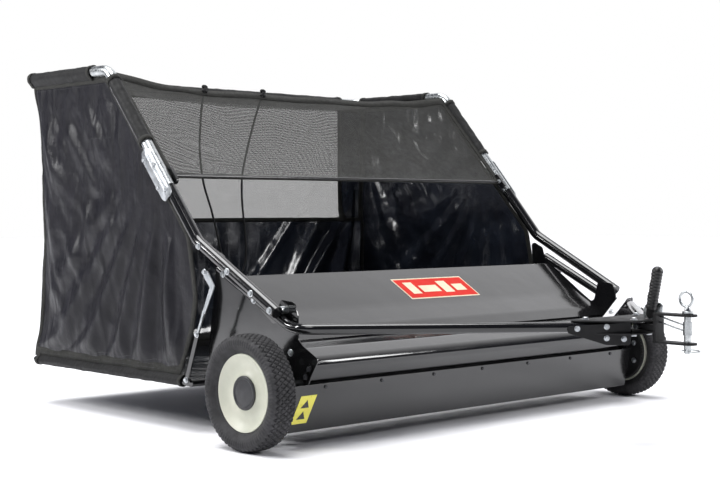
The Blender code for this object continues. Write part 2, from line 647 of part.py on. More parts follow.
def strut(side_name, side):
    """The bright strap from the arm down to the front corner of the floor frame."""
    x0 = side * (HOPPER_X + HOPPER_TUBE + GAP)
    start, knee = Vector((0.240, 0.404)), Vector((0.203, 0.362))
    end = Vector((FLOOR_FRONT + 0.006, FLOOR_Z + 0.008))
    half = 0.010
    first = Vector((knee.y - start.y, start.x - knee.x)).normalized() * half
    second = Vector((end.y - knee.y, knee.x - end.x)).normalized() * half
    turn = (first + second) / 2
    outline = [start + first, knee + turn, end + second, end - second, knee - turn, start - first]
    plate = prism("hopper_strut_" + side_name, outline, x0, x0 + side * PLATE, zinc())
    for k, spot in enumerate((start, end)):
        guide = rod("strut_bolt_guide_%s_%d" % (side_name, k), at(x0 + side * 0.001, *spot),
                    at(x0 + side * (PLATE + 0.004), *spot), 0.0065, None, 6)
        boolean(plate, guide, "UNION")


def pivot_bolt(side_name, side):
    """The bolt that carries each arm on its side plate."""
    inner_face = SIDE_X + GAP
    outer = HOPPER_X - HOPPER_TUBE - GAP
    rod("hopper_pivot_" + side_name, at(side * inner_face, *PIVOT), at(side * outer, *PIVOT),
        0.009, zinc(), 16)


# ---------------------------------------------------------------- hopper bag
def bag():
    clear = HOPPER_TUBE + 0.003
    steep = (Vector(CORNER) - Vector(ELBOW)).normalized()
    under = Vector((steep.y, -steep.x)) * clear
    front_top = Vector(CORNER) + Vector((0.010, -clear - 0.006))
    splice_low = Vector(ELBOW) + under + steep * 0.030
    for side_name, side in SIDES:
        outline = [splice_low, front_top, Vector((REAR_WALL + 0.006, REAR_TOP[1] - clear)),
                   Vector((REAR_WALL + 0.006, FLOOR_Z + FLOOR_TUBE + 0.004)),
                   Vector((FLOOR_FRONT + 0.055, FLOOR_Z + FLOOR_TUBE + 0.004)),
                   Vector((FLOOR_FRONT - 0.004, 0.255))]
        x0 = side * (HOPPER_X - FABRIC / 2)
        prism("bag_side_" + side_name, outline, x0, x0 + side * FABRIC, fabric())
    inner = HOPPER_X - FABRIC / 2 - GAP
    wall_top = REAR_TOP[1] - HOPPER_TUBE - 0.001
    roof_z = wall_top + 0.005
    box("bag_rear", (-inner, REAR_WALL, FLOOR_Z + FLOOR_TUBE + 0.003),
        (inner, REAR_WALL + FABRIC, WINDOW_SILL - GAP), fabric())
    box("bag_rear_window", (-inner, REAR_WALL, WINDOW_SILL), (inner, REAR_WALL + FABRIC, wall_top),
        mesh_cloth())
    tube_inside = HOPPER_X - HOPPER_TUBE - 0.001
    box("bag_roof", (-tube_inside, CORNER[0] + 0.012, roof_z),
        (tube_inside, REAR_WALL - 0.004, roof_z + FABRIC), mesh_cloth())
    top = Vector(CORNER) + Vector((-0.004, -0.006))
    outline = sheet_outline([top, Vector(GUARD_HEM)], FABRIC)
    prism("wind_guard", outline, -tube_inside, tube_inside, mesh_cloth())
    box("bag_floor", (-inner + 0.009, FLOOR_FRONT + FLOOR_TUBE + 0.001, FLOOR_Z - 0.004),
        (inner - 0.009, FLOOR_REAR - 2 * FLOOR_TUBE - 0.001, FLOOR_Z - 0.004 + FABRIC), fabric())


def dump_rope():
    """The rope that hangs in a loop from the roof's front edge, ready to be led forward."""
    y = CORNER[0] - 0.006
    route = [(-0.329, y + 0.002, 0.882), (-0.335, y + 0.008, 0.830), (-0.339, y + 0.010, 0.770),
             (-0.339, y + 0.012, 0.705), (-0.325, y + 0.014, 0.620), (-0.295, y + 0.016, 0.540),
             (-0.272, y + 0.018, 0.466), (-0.252, y + 0.020, 0.402), (-0.230, y + 0.022, 0.364),
             (-0.205, y + 0.022, 0.352), (-0.182, y + 0.022, 0.368), (-0.170, y + 0.020, 0.410),
             (-0.174, y + 0.018, 0.480), (-0.186, y + 0.016, 0.560), (-0.188, y + 0.014, 0.640),
             (-0.172, y + 0.010, 0.720), (-0.148, y + 0.008, 0.800), (-0.121, y + 0.002, 0.882)]
    points = smooth_route([at(*p) for p in route], 3)
    tube("dump_rope", points, ROPE_RADIUS, material("rope_black", (0.02, 0.02, 0.02), 0.8), 2)


def smooth_route(points, steps):
    """A smooth curve through the points (Catmull-Rom), each span cut into equal steps."""
    out = []
    for i in range(len(points) - 1):
        a = points[max(i - 1, 0)]
        b, c = points[i], points[i + 1]
        d = points[min(i + 2, len(points) - 1)]
        for k in range(steps):
            t = k / steps
            out.append(0.5 * (2 * b + (c - a) * t + (2 * a - 5 * b + 4 * c - d) * t ** 2
                              + (3 * b - a - 3 * c + d) * t ** 3))
    return out + [points[-1]]


def main():
    clear_scene()
    for side_name, side in SIDES:
        wheel(side_name, side)
    brush()
    housing()
    hitch()
    lever()
    yoke()
    hitch_pin()
    hairpin_clip()
    hopper_frame()
    bag()
    dump_rope()


main()
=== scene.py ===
"""Looks for a tow-behind lawn sweeper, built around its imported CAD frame.

Metres, in the CAD's own frame: +X is left to right seen from the hitch, -Y the hitch end, +Y the hopper
end and +Z up.  Helpers take y from the wheel axle, as the CAD's design does.
"""
import json
import math
import random

import bmesh
import bpy
from mathutils import Matrix, Vector, noise
from mathutils.bvhtree import BVHTree


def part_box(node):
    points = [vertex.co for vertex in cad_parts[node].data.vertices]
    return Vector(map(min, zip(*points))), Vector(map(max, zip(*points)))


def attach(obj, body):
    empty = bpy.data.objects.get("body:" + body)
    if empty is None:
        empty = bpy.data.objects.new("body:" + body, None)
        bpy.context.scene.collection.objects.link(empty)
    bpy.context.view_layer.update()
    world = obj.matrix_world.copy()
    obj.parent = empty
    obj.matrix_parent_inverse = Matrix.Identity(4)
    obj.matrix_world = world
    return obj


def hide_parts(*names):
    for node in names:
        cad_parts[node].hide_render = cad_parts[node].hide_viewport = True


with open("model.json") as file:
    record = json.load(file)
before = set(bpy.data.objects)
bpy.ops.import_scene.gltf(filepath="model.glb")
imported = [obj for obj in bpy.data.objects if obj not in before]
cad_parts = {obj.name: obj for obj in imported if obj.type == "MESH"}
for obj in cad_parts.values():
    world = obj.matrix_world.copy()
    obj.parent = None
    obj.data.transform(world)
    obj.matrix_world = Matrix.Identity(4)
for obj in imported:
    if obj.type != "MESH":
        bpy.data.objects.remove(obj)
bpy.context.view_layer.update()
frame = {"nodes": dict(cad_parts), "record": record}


def middle(node_name):
    """The centre of a CAD node's box."""
    low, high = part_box(node_name)
    return (low + high) / 2


# ---------------------------------------------------------------- places, read from the frame
AXLE_Y = middle("tyre_left").y
AXLE_Z = middle("tyre_left").z
TRACK_HALF = -middle("tyre_left").x
SIDES = (("left", -1), ("right", 1))
SIDE_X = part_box("side_plate_right")[1].x
HOPPER_X = middle("hopper_arm_right").x
TUBE = 0.0145               # hopper tubes' outer radius
FLOOR_TUBE = 0.0095
HITCH_TUBE = 0.0125
BRUSH_Y = middle("brush_core").y - AXLE_Y
BRUSH_Z = middle("brush_core").z

# the hopper tubes' bends, as (y from the axle, z)
PIVOT = Vector((-0.006, 0.316))
ELBOW = Vector((0.281, 0.468))
CORNER = Vector((0.672, 0.912))
REAR_TOP = Vector((1.088, 0.912))
STEEP = (CORNER - ELBOW).normalized()
SPLICE = ELBOW.lerp(CORNER, 0.30)
GUARD_HEM = Vector((0.411, 0.626))
FLOOR_FRONT = 0.302
FLOOR_REAR = 1.062
FLOOR_Z = 0.122
REAR_JOINT = 0.420          # where each bow meets the rear bar
WALL_REAR = 1.050
WALL_TOP = 0.8965
WALL_FOOT = 0.1335
WINDOW_HALF = 0.518
WINDOW_SILL = 0.520

# the panels of the sewn cloth, by the number that marks their faces
LEFT_WALL, RIGHT_WALL, REAR_WALL, PANE, ROOF, GUARD, FLOOR = range(1, 8)
# the side walls' fan of folds: (angle, width, height) of each, in radians and metres
FAN = ((-0.40, 0.06, 0.012), (-0.18, 0.07, 0.022), (0.04, 0.08, 0.027), (0.26, 0.07, 0.022),
       (0.48, 0.08, 0.024), (0.70, 0.07, 0.018), (0.90, 0.08, 0.014))
# the rear wall's heavy folds: (x at z = 0.35, lean, width, height) of each
REAR_FOLDS = ((0.175, 0.85, 0.016, 0.016), (0.410, 0.72, 0.018, 0.022), (0.520, 0.35, 0.022, 0.030),
              (0.330, 0.60, 0.026, 0.014), (-0.250, 0.30, 0.030, 0.014), (-0.480, -0.35, 0.030, 0.018))
STITCH = 0.0052
WEAVE = 0.0016              # pitch of the woven cloths' threads
NET = 0.0026                # pitch of the nets' threads

# CAD nodes that stay in view: those with softened edges, and those with a dull finish
EDGED = {"rear_cross_bar", "hitch_plate_top", "hitch_plate_bottom", "height_lever", "lever_quadrant",
         "hitch_tongue"}
DULL = {"hitch_plate_top", "hitch_plate_bottom", "hitch_tongue", "height_lever"}

CLOTH = {"Sheen Weight": 0.01, "Sheen Roughness": 0.5, "Specular IOR Level": 0.26}
METAL = {"Metallic": 1.0}
CRUMPLE = (70, 0.0010)
# each finish: light and dark colour, least and most roughness, scale of the drift between them,
# layers of relief as (scale, depth in metres), and other shader inputs
FINISHES = {
    "black_enamel": ((0.0075, 0.0075, 0.008), (0.0045, 0.0045, 0.005), (0.11, 0.17), 6,
                     [(320, 0.00002), (7, 0.0016)],
                     {"Coat Weight": 0.35, "Coat Roughness": 0.06, "IOR": 1.5}),
    "dull_black": ((0.0090, 0.0090, 0.0095), (0.0050, 0.0050, 0.0055), (0.50, 0.70), 14, [(240, 0.00004)],
                   {"Specular IOR Level": 0.28}),
    "zinc_plate": ((0.58, 0.60, 0.60), (0.34, 0.36, 0.37), (0.22, 0.42), 55, [(260, 0.00006)], METAL),
    "bracket_zinc": ((0.62, 0.64, 0.65), (0.36, 0.38, 0.40), (0.28, 0.5), 38, [(180, 0.0001)], METAL),
    "tyre_rubber": ((0.032, 0.031, 0.034), (0.013, 0.013, 0.014), (0.62, 0.85), 28,
                    [(900, 0.00008), (120, 0.0002)]),
    "rim_cream": ((0.62, 0.62, 0.52), (0.50, 0.51, 0.42), (0.34, 0.52), 12, [(700, 0.00004), (30, 0.0003)]),
    "cap_black": ((0.030, 0.030, 0.034), (0.014, 0.014, 0.016), (0.35, 0.5), 40, [(800, 0.00005)]),
    "gear_nylon": ((0.06, 0.06, 0.06), (0.03, 0.03, 0.03), (0.4, 0.6), 60, [(500, 0.00005)]),
    "gear_steel": ((0.42, 0.41, 0.40), (0.25, 0.24, 0.23), (0.3, 0.5), 80, [(300, 0.00005)], METAL),
    "bearing_nylon": ((0.72, 0.72, 0.66), (0.58, 0.58, 0.52), (0.4, 0.55), 50, [(400, 0.00004)]),
    "brush_core_grey": ((0.055, 0.055, 0.055), (0.03, 0.03, 0.03), (0.45, 0.65), 30, [(300, 0.0001)]),
    "bristle": ((0.035, 0.035, 0.036), (0.012, 0.012, 0.012), (0.4, 0.6), 90, [(1200, 0.00005)]),
    "grip_vinyl": ((0.010, 0.010, 0.010), (0.005, 0.005, 0.005), (0.32, 0.45), 60, [(500, 0.00008)]),
    "rope_black": ((0.035, 0.035, 0.036), (0.010, 0.010, 0.010), (0.7, 0.9), 400, [(900, 0.0004)]),
    "bag_fabric": ((0.0125, 0.012, 0.0160), (0.006, 0.0058, 0.0082), (0.32, 0.42), 14, [CRUMPLE], CLOTH),
    "bag_lining": ((0.024, 0.030, 0.044), (0.007, 0.008, 0.012), (0.16, 0.26), 9, [(5, 0.0300), CRUMPLE],
                   {"Coat Weight": 1.0, "Coat Roughness": 0.14}),
    "hem_fabric": ((0.030, 0.030, 0.027), (0.014, 0.014, 0.012), (0.6, 0.8), 60, [(140, 0.0008)], CLOTH, "UV"),
    "sleeve_fabric": ((0.0125, 0.0125, 0.013), (0.005, 0.005, 0.005), (0.5, 0.7), 40, [(60, 0.0016)],
                      CLOTH),
    "window_mesh": ((0.120, 0.115, 0.125), (0.090, 0.087, 0.095), (0.5, 0.7), 20, [], {}, "UV"),
    "guard_mesh": ((0.030, 0.030, 0.026), (0.019, 0.019, 0.016), (0.5, 0.7), 20, [], {}, "UV"),
    "label_red": ((0.66, 0.030, 0.020), (0.54, 0.020, 0.014), (0.55, 0.68), 20, [(300, 0.00003)],
                  {"Specular IOR Level": 0.15}),
    "label_cream": ((0.80, 0.72, 0.54), (0.68, 0.58, 0.42), (0.5, 0.6), 20, [(300, 0.00003)],
                    {"Specular IOR Level": 0.2}),
    "label_yellow": ((0.86, 0.80, 0.10), (0.78, 0.70, 0.07), (0.25, 0.4), 20, [(300, 0.00003)],
                     {"Coat Weight": 0.4}),
    "strap_white": ((0.90, 0.90, 0.90), (0.78, 0.78, 0.79), (0.25, 0.4), 25, [(200, 0.00006)]),
    "thread": ((0.10, 0.10, 0.11), (0.06, 0.06, 0.065), (0.6, 0.8), 200, [(900, 0.0001)]),
    "piping": ((0.24, 0.23, 0.25), (0.14, 0.14, 0.15), (0.5, 0.7), 80, [(900, 0.0001)]),
}


def at(x, y, z):
    """A point given from the axle's y, as a point of the frame."""
    return Vector((x, AXLE_Y + y, z))


def linked(name, data):
    """A new object in the scene."""
    obj = bpy.data.objects.new(name, data)
    bpy.context.scene.collection.objects.link(obj)
    return obj


def linked_mesh(name, bm):
    """A new object from a bmesh, which is freed."""
    mesh = bpy.data.meshes.new(name)
    bm.to_mesh(mesh)
    bm.free()
    return linked(name, mesh)


# ---------------------------------------------------------------- camera, light and floor
def camera():
    """The main view: from the front left, a little above the hood."""
    data = bpy.data.cameras.new("camera")
    cam = linked("camera", data)
    cam.location = at(-2.6793, -2.46, 0.5474)
    cam.rotation_euler = (math.pi / 2 - 0.0222, 0.0, -0.7548)
    data.sensor_width = 36
    data.lens = 69.87
    data.clip_end = 60
    bpy.context.scene.camera = cam


def softbox(name, place, target, size, power):
    """A large rectangular lamp at place that shines at target."""
    data = bpy.data.lights.new(name, "AREA")
    data.shape = "RECTANGLE"
    data.size, data.size_y = size
    data.energy = power
    lamp = linked(name, data)
    lamp.location = place
    lamp.rotation_euler = (Vector(target) - Vector(place)).to_track_quat("-Z", "Y").to_euler()


def studio():
    """Lamps, a floor, and a room that has one bright side but shows plain white to the camera."""
    world = bpy.data.worlds.new("studio")
    bpy.context.scene.world = world
    world.use_nodes = True
    tree = world.node_tree
    plain = tree.nodes["Background"]
    plain.inputs["Color"].default_value = (1, 1, 1, 1)
    bright_side = node(tree, "ShaderNodeVectorMath", {1: Vector((0.80, 0.28, 0.53)).normalized()},
                       node(tree, "ShaderNodeTexCoord").outputs["Generated"], operation="DOT_PRODUCT")
    share = node(tree, "ShaderNodeMapRange", {"From Min": 0.55, "From Max": 1.0},
                 interpolation_type="SMOOTHSTEP")
    tree.links.new(bright_side.outputs["Value"], share.inputs["Value"])
    room = node(tree, "ShaderNodeBackground")
    shades = blend(tree, (0.055, 0.06, 0.085), (1.38, 1.38, 1.41), share.outputs["Result"])
    tree.links.new(shades, room.inputs["Color"])
    seen = node(tree, "ShaderNodeMixShader")
    tree.links.new(node(tree, "ShaderNodeLightPath").outputs["Is Camera Ray"], seen.inputs[0])
    tree.links.new(room.outputs[0], seen.inputs[1])
    tree.links.new(plain.outputs[0], seen.inputs[2])
    tree.links.new(seen.outputs[0], tree.nodes["World Output"].inputs["Surface"])
    softbox("key", (-2.6, -1.0, 3.0), (0, 0, 0.3), (1.6, 0.9), 26)
    softbox("fill", (1.75, -2.6, 1.65), (0.1, 0.6, 0.3), (0.9, 0.9), 42)
    softbox("edge", (-2.7, 1.9, 2.1), (-0.6, 0.5, 0.6), (0.30, 1.3), 66)
    overhead = bpy.data.lights.new("overhead", "SUN")
    overhead.energy = 3.1
    overhead.angle = math.radians(40)
    linked("overhead", overhead).rotation_euler = (math.radians(-8), math.radians(-6), 0)
    bpy.context.scene.view_settings.view_transform = "Standard"
    bm = bmesh.new()
    bmesh.ops.create_grid(bm, x_segments=2, y_segments=2, size=20)
    floor = linked_mesh("studio_floor", bm)
    paper = textured("floor_paper", (0.95, 0.95, 0.97), (0.93, 0.93, 0.955), (0.8, 0.9), 3)
    floor.data.materials.append(paper)


# ---------------------------------------------------------------- material nodes
def node(tree, kind, inputs=None, vector=None, **settings):
    """A new shader node with its inputs and settings, and a socket linked to its Vector input."""
    made = tree.nodes.new(kind)
    for key, value in settings.items():
        setattr(made, key, value)
    for key, value in (inputs or {}).items():
        made.inputs[key].default_value = value
    if vector:
        tree.links.new(vector, made.inputs["Vector"])
    return made


def blend(tree, dark, light, share):
    """A colour between two, by a socket that runs from 0 to 1."""
    mix = node(tree, "ShaderNodeMix", data_type="RGBA")
    mix.inputs[6].default_value = (*dark, 1)
    mix.inputs[7].default_value = (*light, 1)
    tree.links.new(share, mix.inputs[0])
    return mix.outputs[2]


def math_node(tree, operation, a, b=None):
    """A Math node on sockets or numbers; returns its output."""
    made = node(tree, "ShaderNodeMath", operation=operation)
    for place, value in enumerate((a, b)):
        if isinstance(value, bpy.types.NodeSocket):
            tree.links.new(value, made.inputs[place])
        elif value is not None:
            made.inputs[place].default_value = value
    return made.outputs[0]


def textured(name, light, dark, rough, scale, bumps=(), values=None, mapping="Object"):
    """A Principled material whose colour and roughness drift between two values.

    bumps holds (scale, depth in metres) for each layer of relief.
    """
    mat = bpy.data.materials.new(name)
    mat.use_nodes = True
    tree = mat.node_tree
    shader = tree.nodes["Principled BSDF"]
    for key, value in (values or {}).items():
        shader.inputs[key].default_value = value
    coords = node(tree, "ShaderNodeTexCoord").outputs[mapping]
    drift = node(tree, "ShaderNodeTexNoise", {"Scale": scale, "Detail": 6.0, "Roughness": 0.6}, vector=coords)
    spread = node(tree, "ShaderNodeMapRange", {"From Min": 0.32, "From Max": 0.68})
    tree.links.new(drift.outputs["Fac"], spread.inputs["Value"])
    tree.links.new(blend(tree, dark, light, spread.outputs["Result"]), shader.inputs["Base Color"])
    worn = node(tree, "ShaderNodeTexNoise", {"Scale": scale * 2.7, "Detail": 4.0}, vector=coords)
    span = node(tree, "ShaderNodeMapRange",
                {"From Min": 0.3, "From Max": 0.7, "To Min": rough[0], "To Max": rough[1]})
    tree.links.new(worn.outputs["Fac"], span.inputs["Value"])
    tree.links.new(span.outputs["Result"], shader.inputs["Roughness"])
    for size, depth in bumps:
        relief = node(tree, "ShaderNodeTexNoise", {"Scale": size, "Detail": 3.0}, vector=coords)
        add_bump(mat, relief.outputs["Fac"], depth)
    return mat


def add_bump(mat, height, depth):
    """Adds a layer of relief to the material, on top of those it has."""
    tree = mat.node_tree
    shader = tree.nodes["Principled BSDF"]
    bump = node(tree, "ShaderNodeBump", {"Distance": depth, "Strength": 1.0})
    tree.links.new(height, bump.inputs["Height"])
    if shader.inputs["Normal"].is_linked:
        tree.links.new(shader.inputs["Normal"].links[0].from_socket, bump.inputs["Normal"])
    tree.links.new(bump.outputs["Normal"], shader.inputs["Normal"])


def uv_parts(tree):
    """The two UV coordinates, in metres on cloth."""
    split = node(tree, "ShaderNodeSeparateXYZ")
    tree.links.new(node(tree, "ShaderNodeTexCoord").outputs["UV"], split.inputs[0])
    return split.outputs[0], split.outputs[1]


def woven(mat, depth):
    """Adds a plain weave to a cloth material, along its UVs."""
    tree = mat.node_tree
    waves = [math_node(tree, "SINE", math_node(tree, "MULTIPLY", part, 2 * math.pi / WEAVE))
             for part in uv_parts(tree)]
    add_bump(mat, math_node(tree, "MULTIPLY", *waves), depth)


def net(mat, thread):
    """Opens square holes in a cloth material, by its transparency, between threads of the given width."""
    tree = mat.node_tree
    shader = tree.nodes["Principled BSDF"]
    lines = []
    for part in uv_parts(tree):
        near = math_node(tree, "PINGPONG", part, NET / 2)
        lines.append(math_node(tree, "LESS_THAN", near, thread / 2))
        add_bump(mat, near, 0.0003)
    tree.links.new(math_node(tree, "MAXIMUM", *lines), shader.inputs["Alpha"])


def brushed(mat, depth):
    """Fine lines along the object's y."""
    tree = mat.node_tree
    place = node(tree, "ShaderNodeTexCoord").outputs["Object"]
    stretch = node(tree, "ShaderNodeMapping", {"Scale": (900, 18, 900)}, vector=place)
    lines = node(tree, "ShaderNodeTexNoise", {"Scale": 1.0, "Detail": 2.0}, vector=stretch.outputs["Vector"])
    add_bump(mat, lines.outputs["Fac"], depth)


def creased(mat, turn, depth):
    """Long creases that run down the cloth, leaning by the given angle, and finer ones across them."""
    tree = mat.node_tree
    place = node(tree, "ShaderNodeTexCoord").outputs["Object"]
    for lean, size, height in ((turn, (20, 24, 3.6), depth), (-2.2 * turn, (16, 30, 7), depth * 0.55)):
        stretch = node(tree, "ShaderNodeMapping", {"Rotation": (lean, 0, 0), "Scale": size}, vector=place)
        lines = node(tree, "ShaderNodeTexNoise", {"Scale": 1.0, "Detail": 3.0, "Distortion": 0.4},
                     vector=stretch.outputs["Vector"], noise_type="RIDGED_MULTIFRACTAL")
        add_bump(mat, lines.outputs["Fac"], height)


def make_materials():
    """Every finish of the table, with the weave, holes, creases or brushed lines that some have."""
    made = {name: textured(name, *recipe) for name, recipe in FINISHES.items()}
    brushed(made["zinc_plate"], 0.00003)
    for name, depth in (("bag_fabric", 0.00003), ("bag_lining", 0.00002), ("hem_fabric", 0.00006),
                        ("sleeve_fabric", 0.00006)):
        woven(made[name], depth)
    creased(made["bag_fabric"], 0.22, 0.0075)
    creased(made["bag_lining"], 0.25, 0.005)
    net(made["window_mesh"], 0.00112)
    net(made["guard_mesh"], 0.00100)
    return made


# ---------------------------------------------------------------- mesh helpers
def placed(name, bm, finish, body, angle, stands_for=None):
    """Turns a bmesh into a shown piece on a body, in place of the CAD node named by stands_for."""
    bmesh.ops.recalc_face_normals(bm, faces=bm.faces)
    obj = linked_mesh(name, bm)
    obj.data.shade_smooth()
    obj.data.set_sharp_from_angle(angle=math.radians(angle))
    obj.data.materials.append(materials[finish])
    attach(obj, body)
    if stands_for:
        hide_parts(stands_for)
    return obj


def rounded(points, radius, steps, closed=False):
    """The points with each corner replaced by an arc of the given radius (a number or a list)."""
    pts = [Vector(p) for p in points]
    count = len(pts)
    out = []
    for i, p in enumerate(pts):
        r = radius[i] if isinstance(radius, (list, tuple)) else radius
        if (not closed and i in (0, count - 1)) or r <= 0:
            out.append(p)
            continue
        a = (pts[i - 1] - p).normalized()
        b = (pts[(i + 1) % count] - p).normalized()
        half = a.angle(b) / 2
        if half > math.radians(88.5):
            out.append(p)
            continue
        reach = r / math.tan(half)
        centre = p + (a + b).normalized() * (r / math.sin(half))
        start = p + a * reach - centre
        end = p + b * reach - centre
        sweep_angle = start.angle(end)
        for k in range(steps + 1):
            t = k / steps
            mix = start * math.sin((1 - t) * sweep_angle) + end * math.sin(t * sweep_angle)
            out.append(centre + mix / math.sin(sweep_angle))
    return out


def evenly(points, step):
    """Points at about equal steps along a polyline, its ends kept."""
    pts = [Vector(p) for p in points]
    lengths = [0.0]
    for a, b in zip(pts, pts[1:]):
        lengths.append(lengths[-1] + (b - a).length)
    count = max(2, round(lengths[-1] / step))
    out = []
    k = 0
    for i in range(count + 1):
        want = lengths[-1] * i / count
        while k < len(pts) - 2 and lengths[k + 1] < want:
            k += 1
        span = lengths[k + 1] - lengths[k]
        out.append(pts[k].lerp(pts[k + 1], (want - lengths[k]) / span if span else 0))
    return out


def smooth_route(points, steps):
    """A smooth curve through the points (Catmull-Rom), each span cut into equal steps."""
    out = []
    for i in range(len(points) - 1):
        a = points[max(i - 1, 0)]
        b, c = points[i], points[i + 1]
        d = points[min(i + 2, len(points) - 1)]
        for k in range(steps):
            t = k / steps
            out.append(0.5 * (2 * b + (c - a) * t + (2 * a - 5 * b + 4 * c - d) * t ** 2
                              + (3 * b - a - 3 * c + d) * t ** 3))
    return out + [points[-1]]


def skin(bm, near, far):
    """Faces between two closed rings of vertices."""
    for j in range(len(near)):
        k = (j + 1) % len(near)
        bm.faces.new((near[j], near[k], far[k], far[j]))


def circle(radius, sides):
    """A round section for sweep()."""
    ring = [(radius * math.cos(2 * math.pi * k / sides), radius * math.sin(2 * math.pi * k / sides))
            for k in range(sides)]
    return lambda share: ring


def sweep(bm, path, section, up=(0, 0, 1), caps=True, closed=False):
    """Carries a closed section along a path. section(share) gives its (sideways, up) offsets there."""
    pts = [Vector(p) for p in path]
    count = len(pts)
    rows = []
    lift = Vector(up)
    for i, p in enumerate(pts):
        before = pts[i - 1] if (i or closed) else p
        after = pts[(i + 1) % count] if (i < count - 1 or closed) else p
        along = (after - before).normalized()
        lift = (lift - along * lift.dot(along)).normalized()
        side = along.cross(lift)
        rows.append([bm.verts.new(p + side * a + lift * b) for a, b in section(i / (count - 1))])
    for i in range(count if closed else count - 1):
        skin(bm, rows[i], rows[(i + 1) % count])
    if caps and not closed:
        bm.faces.new(rows[0][::-1])
        bm.faces.new(rows[-1])


def turned(bm, profile, place, axis, steps, closed=False, warp=None):
    """Spins an (along, radius) profile about an axis through place."""
    turn = Vector(axis).to_track_quat("Z", "Y").to_matrix()
    rings = []
    for along, radius in profile:
        ring = []
        for k in range(steps):
            angle = 2 * math.pi * k / steps
            x, r = warp(along, radius, angle) if warp else (along, radius)
            ring.append(bm.verts.new(place + turn @ Vector((r * math.cos(angle), r * math.sin(angle), x))))
        rings.append(ring)
    pairs = list(zip(rings, rings[1:])) + ([(rings[-1], rings[0])] if closed else [])
    for near, far in pairs:
        skin(bm, near, far)
    if not closed:
        bm.faces.new(rings[0][::-1])
        bm.faces.new(rings[-1])


def bolt(bm, place, axis, size, washer=True):
    """A hex head on a washer, its underside at place."""
    axis = Vector(axis).normalized()
    if washer:
        turned(bm, [(0, size * 1.35), (0.0011, size * 1.35), (0.0014, size * 1.25)], place, axis, 20)
        place = place + axis * 0.0013
    high = size * 0.72
    head = [(0, size * 1.02), (high * 0.8, size * 1.02), (high, size * 0.86), (high * 1.02, size * 0.4)]
    turned(bm, head, place, axis, 6)


def bolts(name, spots, axis, size, body="root", finish="bracket_zinc", washer=True):
    """One piece with a bolt at each spot, all along the same axis."""
    bm = bmesh.new()
    for spot in spots:
        bolt(bm, spot, axis, size, washer)
    placed(name, bm, finish, body, 30)


def pipe(name, path, radius, sides, body, stands_for=None, finish="black_enamel", up=(0, 0, 1)):
    """A round bar along a path."""
    bm = bmesh.new()
    sweep(bm, path, circle(radius, sides), up=up)
    return placed(name, bm, finish, body, 40, stands_for)


def spun(name, profile, place, axis, steps, finish, body, angle, stands_for, closed=False, warp=None):
    """A piece of revolution."""
    bm = bmesh.new()
    turned(bm, profile, place, axis, steps, closed, warp)
    return placed(name, bm, finish, body, angle, stands_for)


def prism(bm, low, high):
    """A solid between two matching rings of points."""
    near, far = [[bm.verts.new(p) for p in ring] for ring in (low, high)]
    skin(bm, near, far)
    bm.faces.new(near[::-1])
    bm.faces.new(far)


def extruded(bm, outline, holes, x0, x1):
    """A flat plate in (y, z) with holes, from x0 to x1."""
    loops = []
    for line in (outline, *holes):
        verts = [bm.verts.new(at(x0, p[0], p[1])) for p in line]
        loops += [bm.edges.new((verts[i], verts[i - 1])) for i in range(len(verts))]
    made = bmesh.ops.triangle_fill(bm, edges=loops, use_beauty=True)
    flat = [g for g in made["geom"] if isinstance(g, bmesh.types.BMFace)]
    grown = bmesh.ops.extrude_face_region(bm, geom=flat)
    moved = [g for g in grown["geom"] if isinstance(g, bmesh.types.BMVert)]
    bmesh.ops.translate(bm, verts=moved, vec=(x1 - x0, 0, 0))


def sheet_line(points, thickness):
    """A polyline in (y, z) thickened to its left-hand side, as one closed outline."""
    pts = [Vector(p) for p in points]
    inner = []
    for i, p in enumerate(pts):
        back = (p - pts[i - 1]).normalized() if i else (pts[1] - p).normalized()
        ahead = (pts[i + 1] - p).normalized() if i < len(pts) - 1 else back
        normal = Vector((-back.y - ahead.y, back.x + ahead.x)).normalized()
        inner.append(p + normal * thickness)
    return pts + inner[::-1]


def bevelled(obj, width, angle, segments=3, harden=True):
    """Softens the object's edges that are sharper than angle."""
    step = obj.modifiers.new("edges", "BEVEL")
    step.width = width
    step.segments = segments
    step.limit_method = "ANGLE"
    step.angle_limit = math.radians(angle)
    step.harden_normals = harden
    return obj


def thicken(obj, thickness, offset):
    """Gives a sheet a thickness: to both sides with offset 0, outwards with 1."""
    step = obj.modifiers.new("thick", "SOLIDIFY")
    step.thickness = thickness
    step.offset = offset
    return step


def flat_plate(name, outline, x0, x1, body, stands_for=None, holes=(), finish="black_enamel",
               edge=(0.0006, 50, 2)):
    """A plate cut to an outline in (y, z), from x0 to x1, with softened edges."""
    bm = bmesh.new()
    extruded(bm, outline, holes, x0, x1)
    bevelled(placed(name, bm, finish, body, 40, stands_for), *edge)


def arc(centre, radius, start, end, steps):
    """Points of an arc in a plane, angles in degrees."""
    return [Vector((centre[0] + radius * math.cos(a), centre[1] + radius * math.sin(a)))
            for a in (math.radians(start + (end - start) * k / steps) for k in range(steps + 1))]


def ramp(value, start, length):
    """From 0 at start to 1 after length, straight."""
    return min(1.0, max(0.0, (value - start) / length))


def stadium(a, b, radius, steps=10):
    """A slot's outline between two centres in a plane."""
    a, b = Vector(a), Vector(b)
    turn = math.degrees(math.atan2(b.y - a.y, b.x - a.x))
    return arc(b, radius, turn - 90, turn + 90, steps) + arc(a, radius, turn + 90, turn + 270, steps)


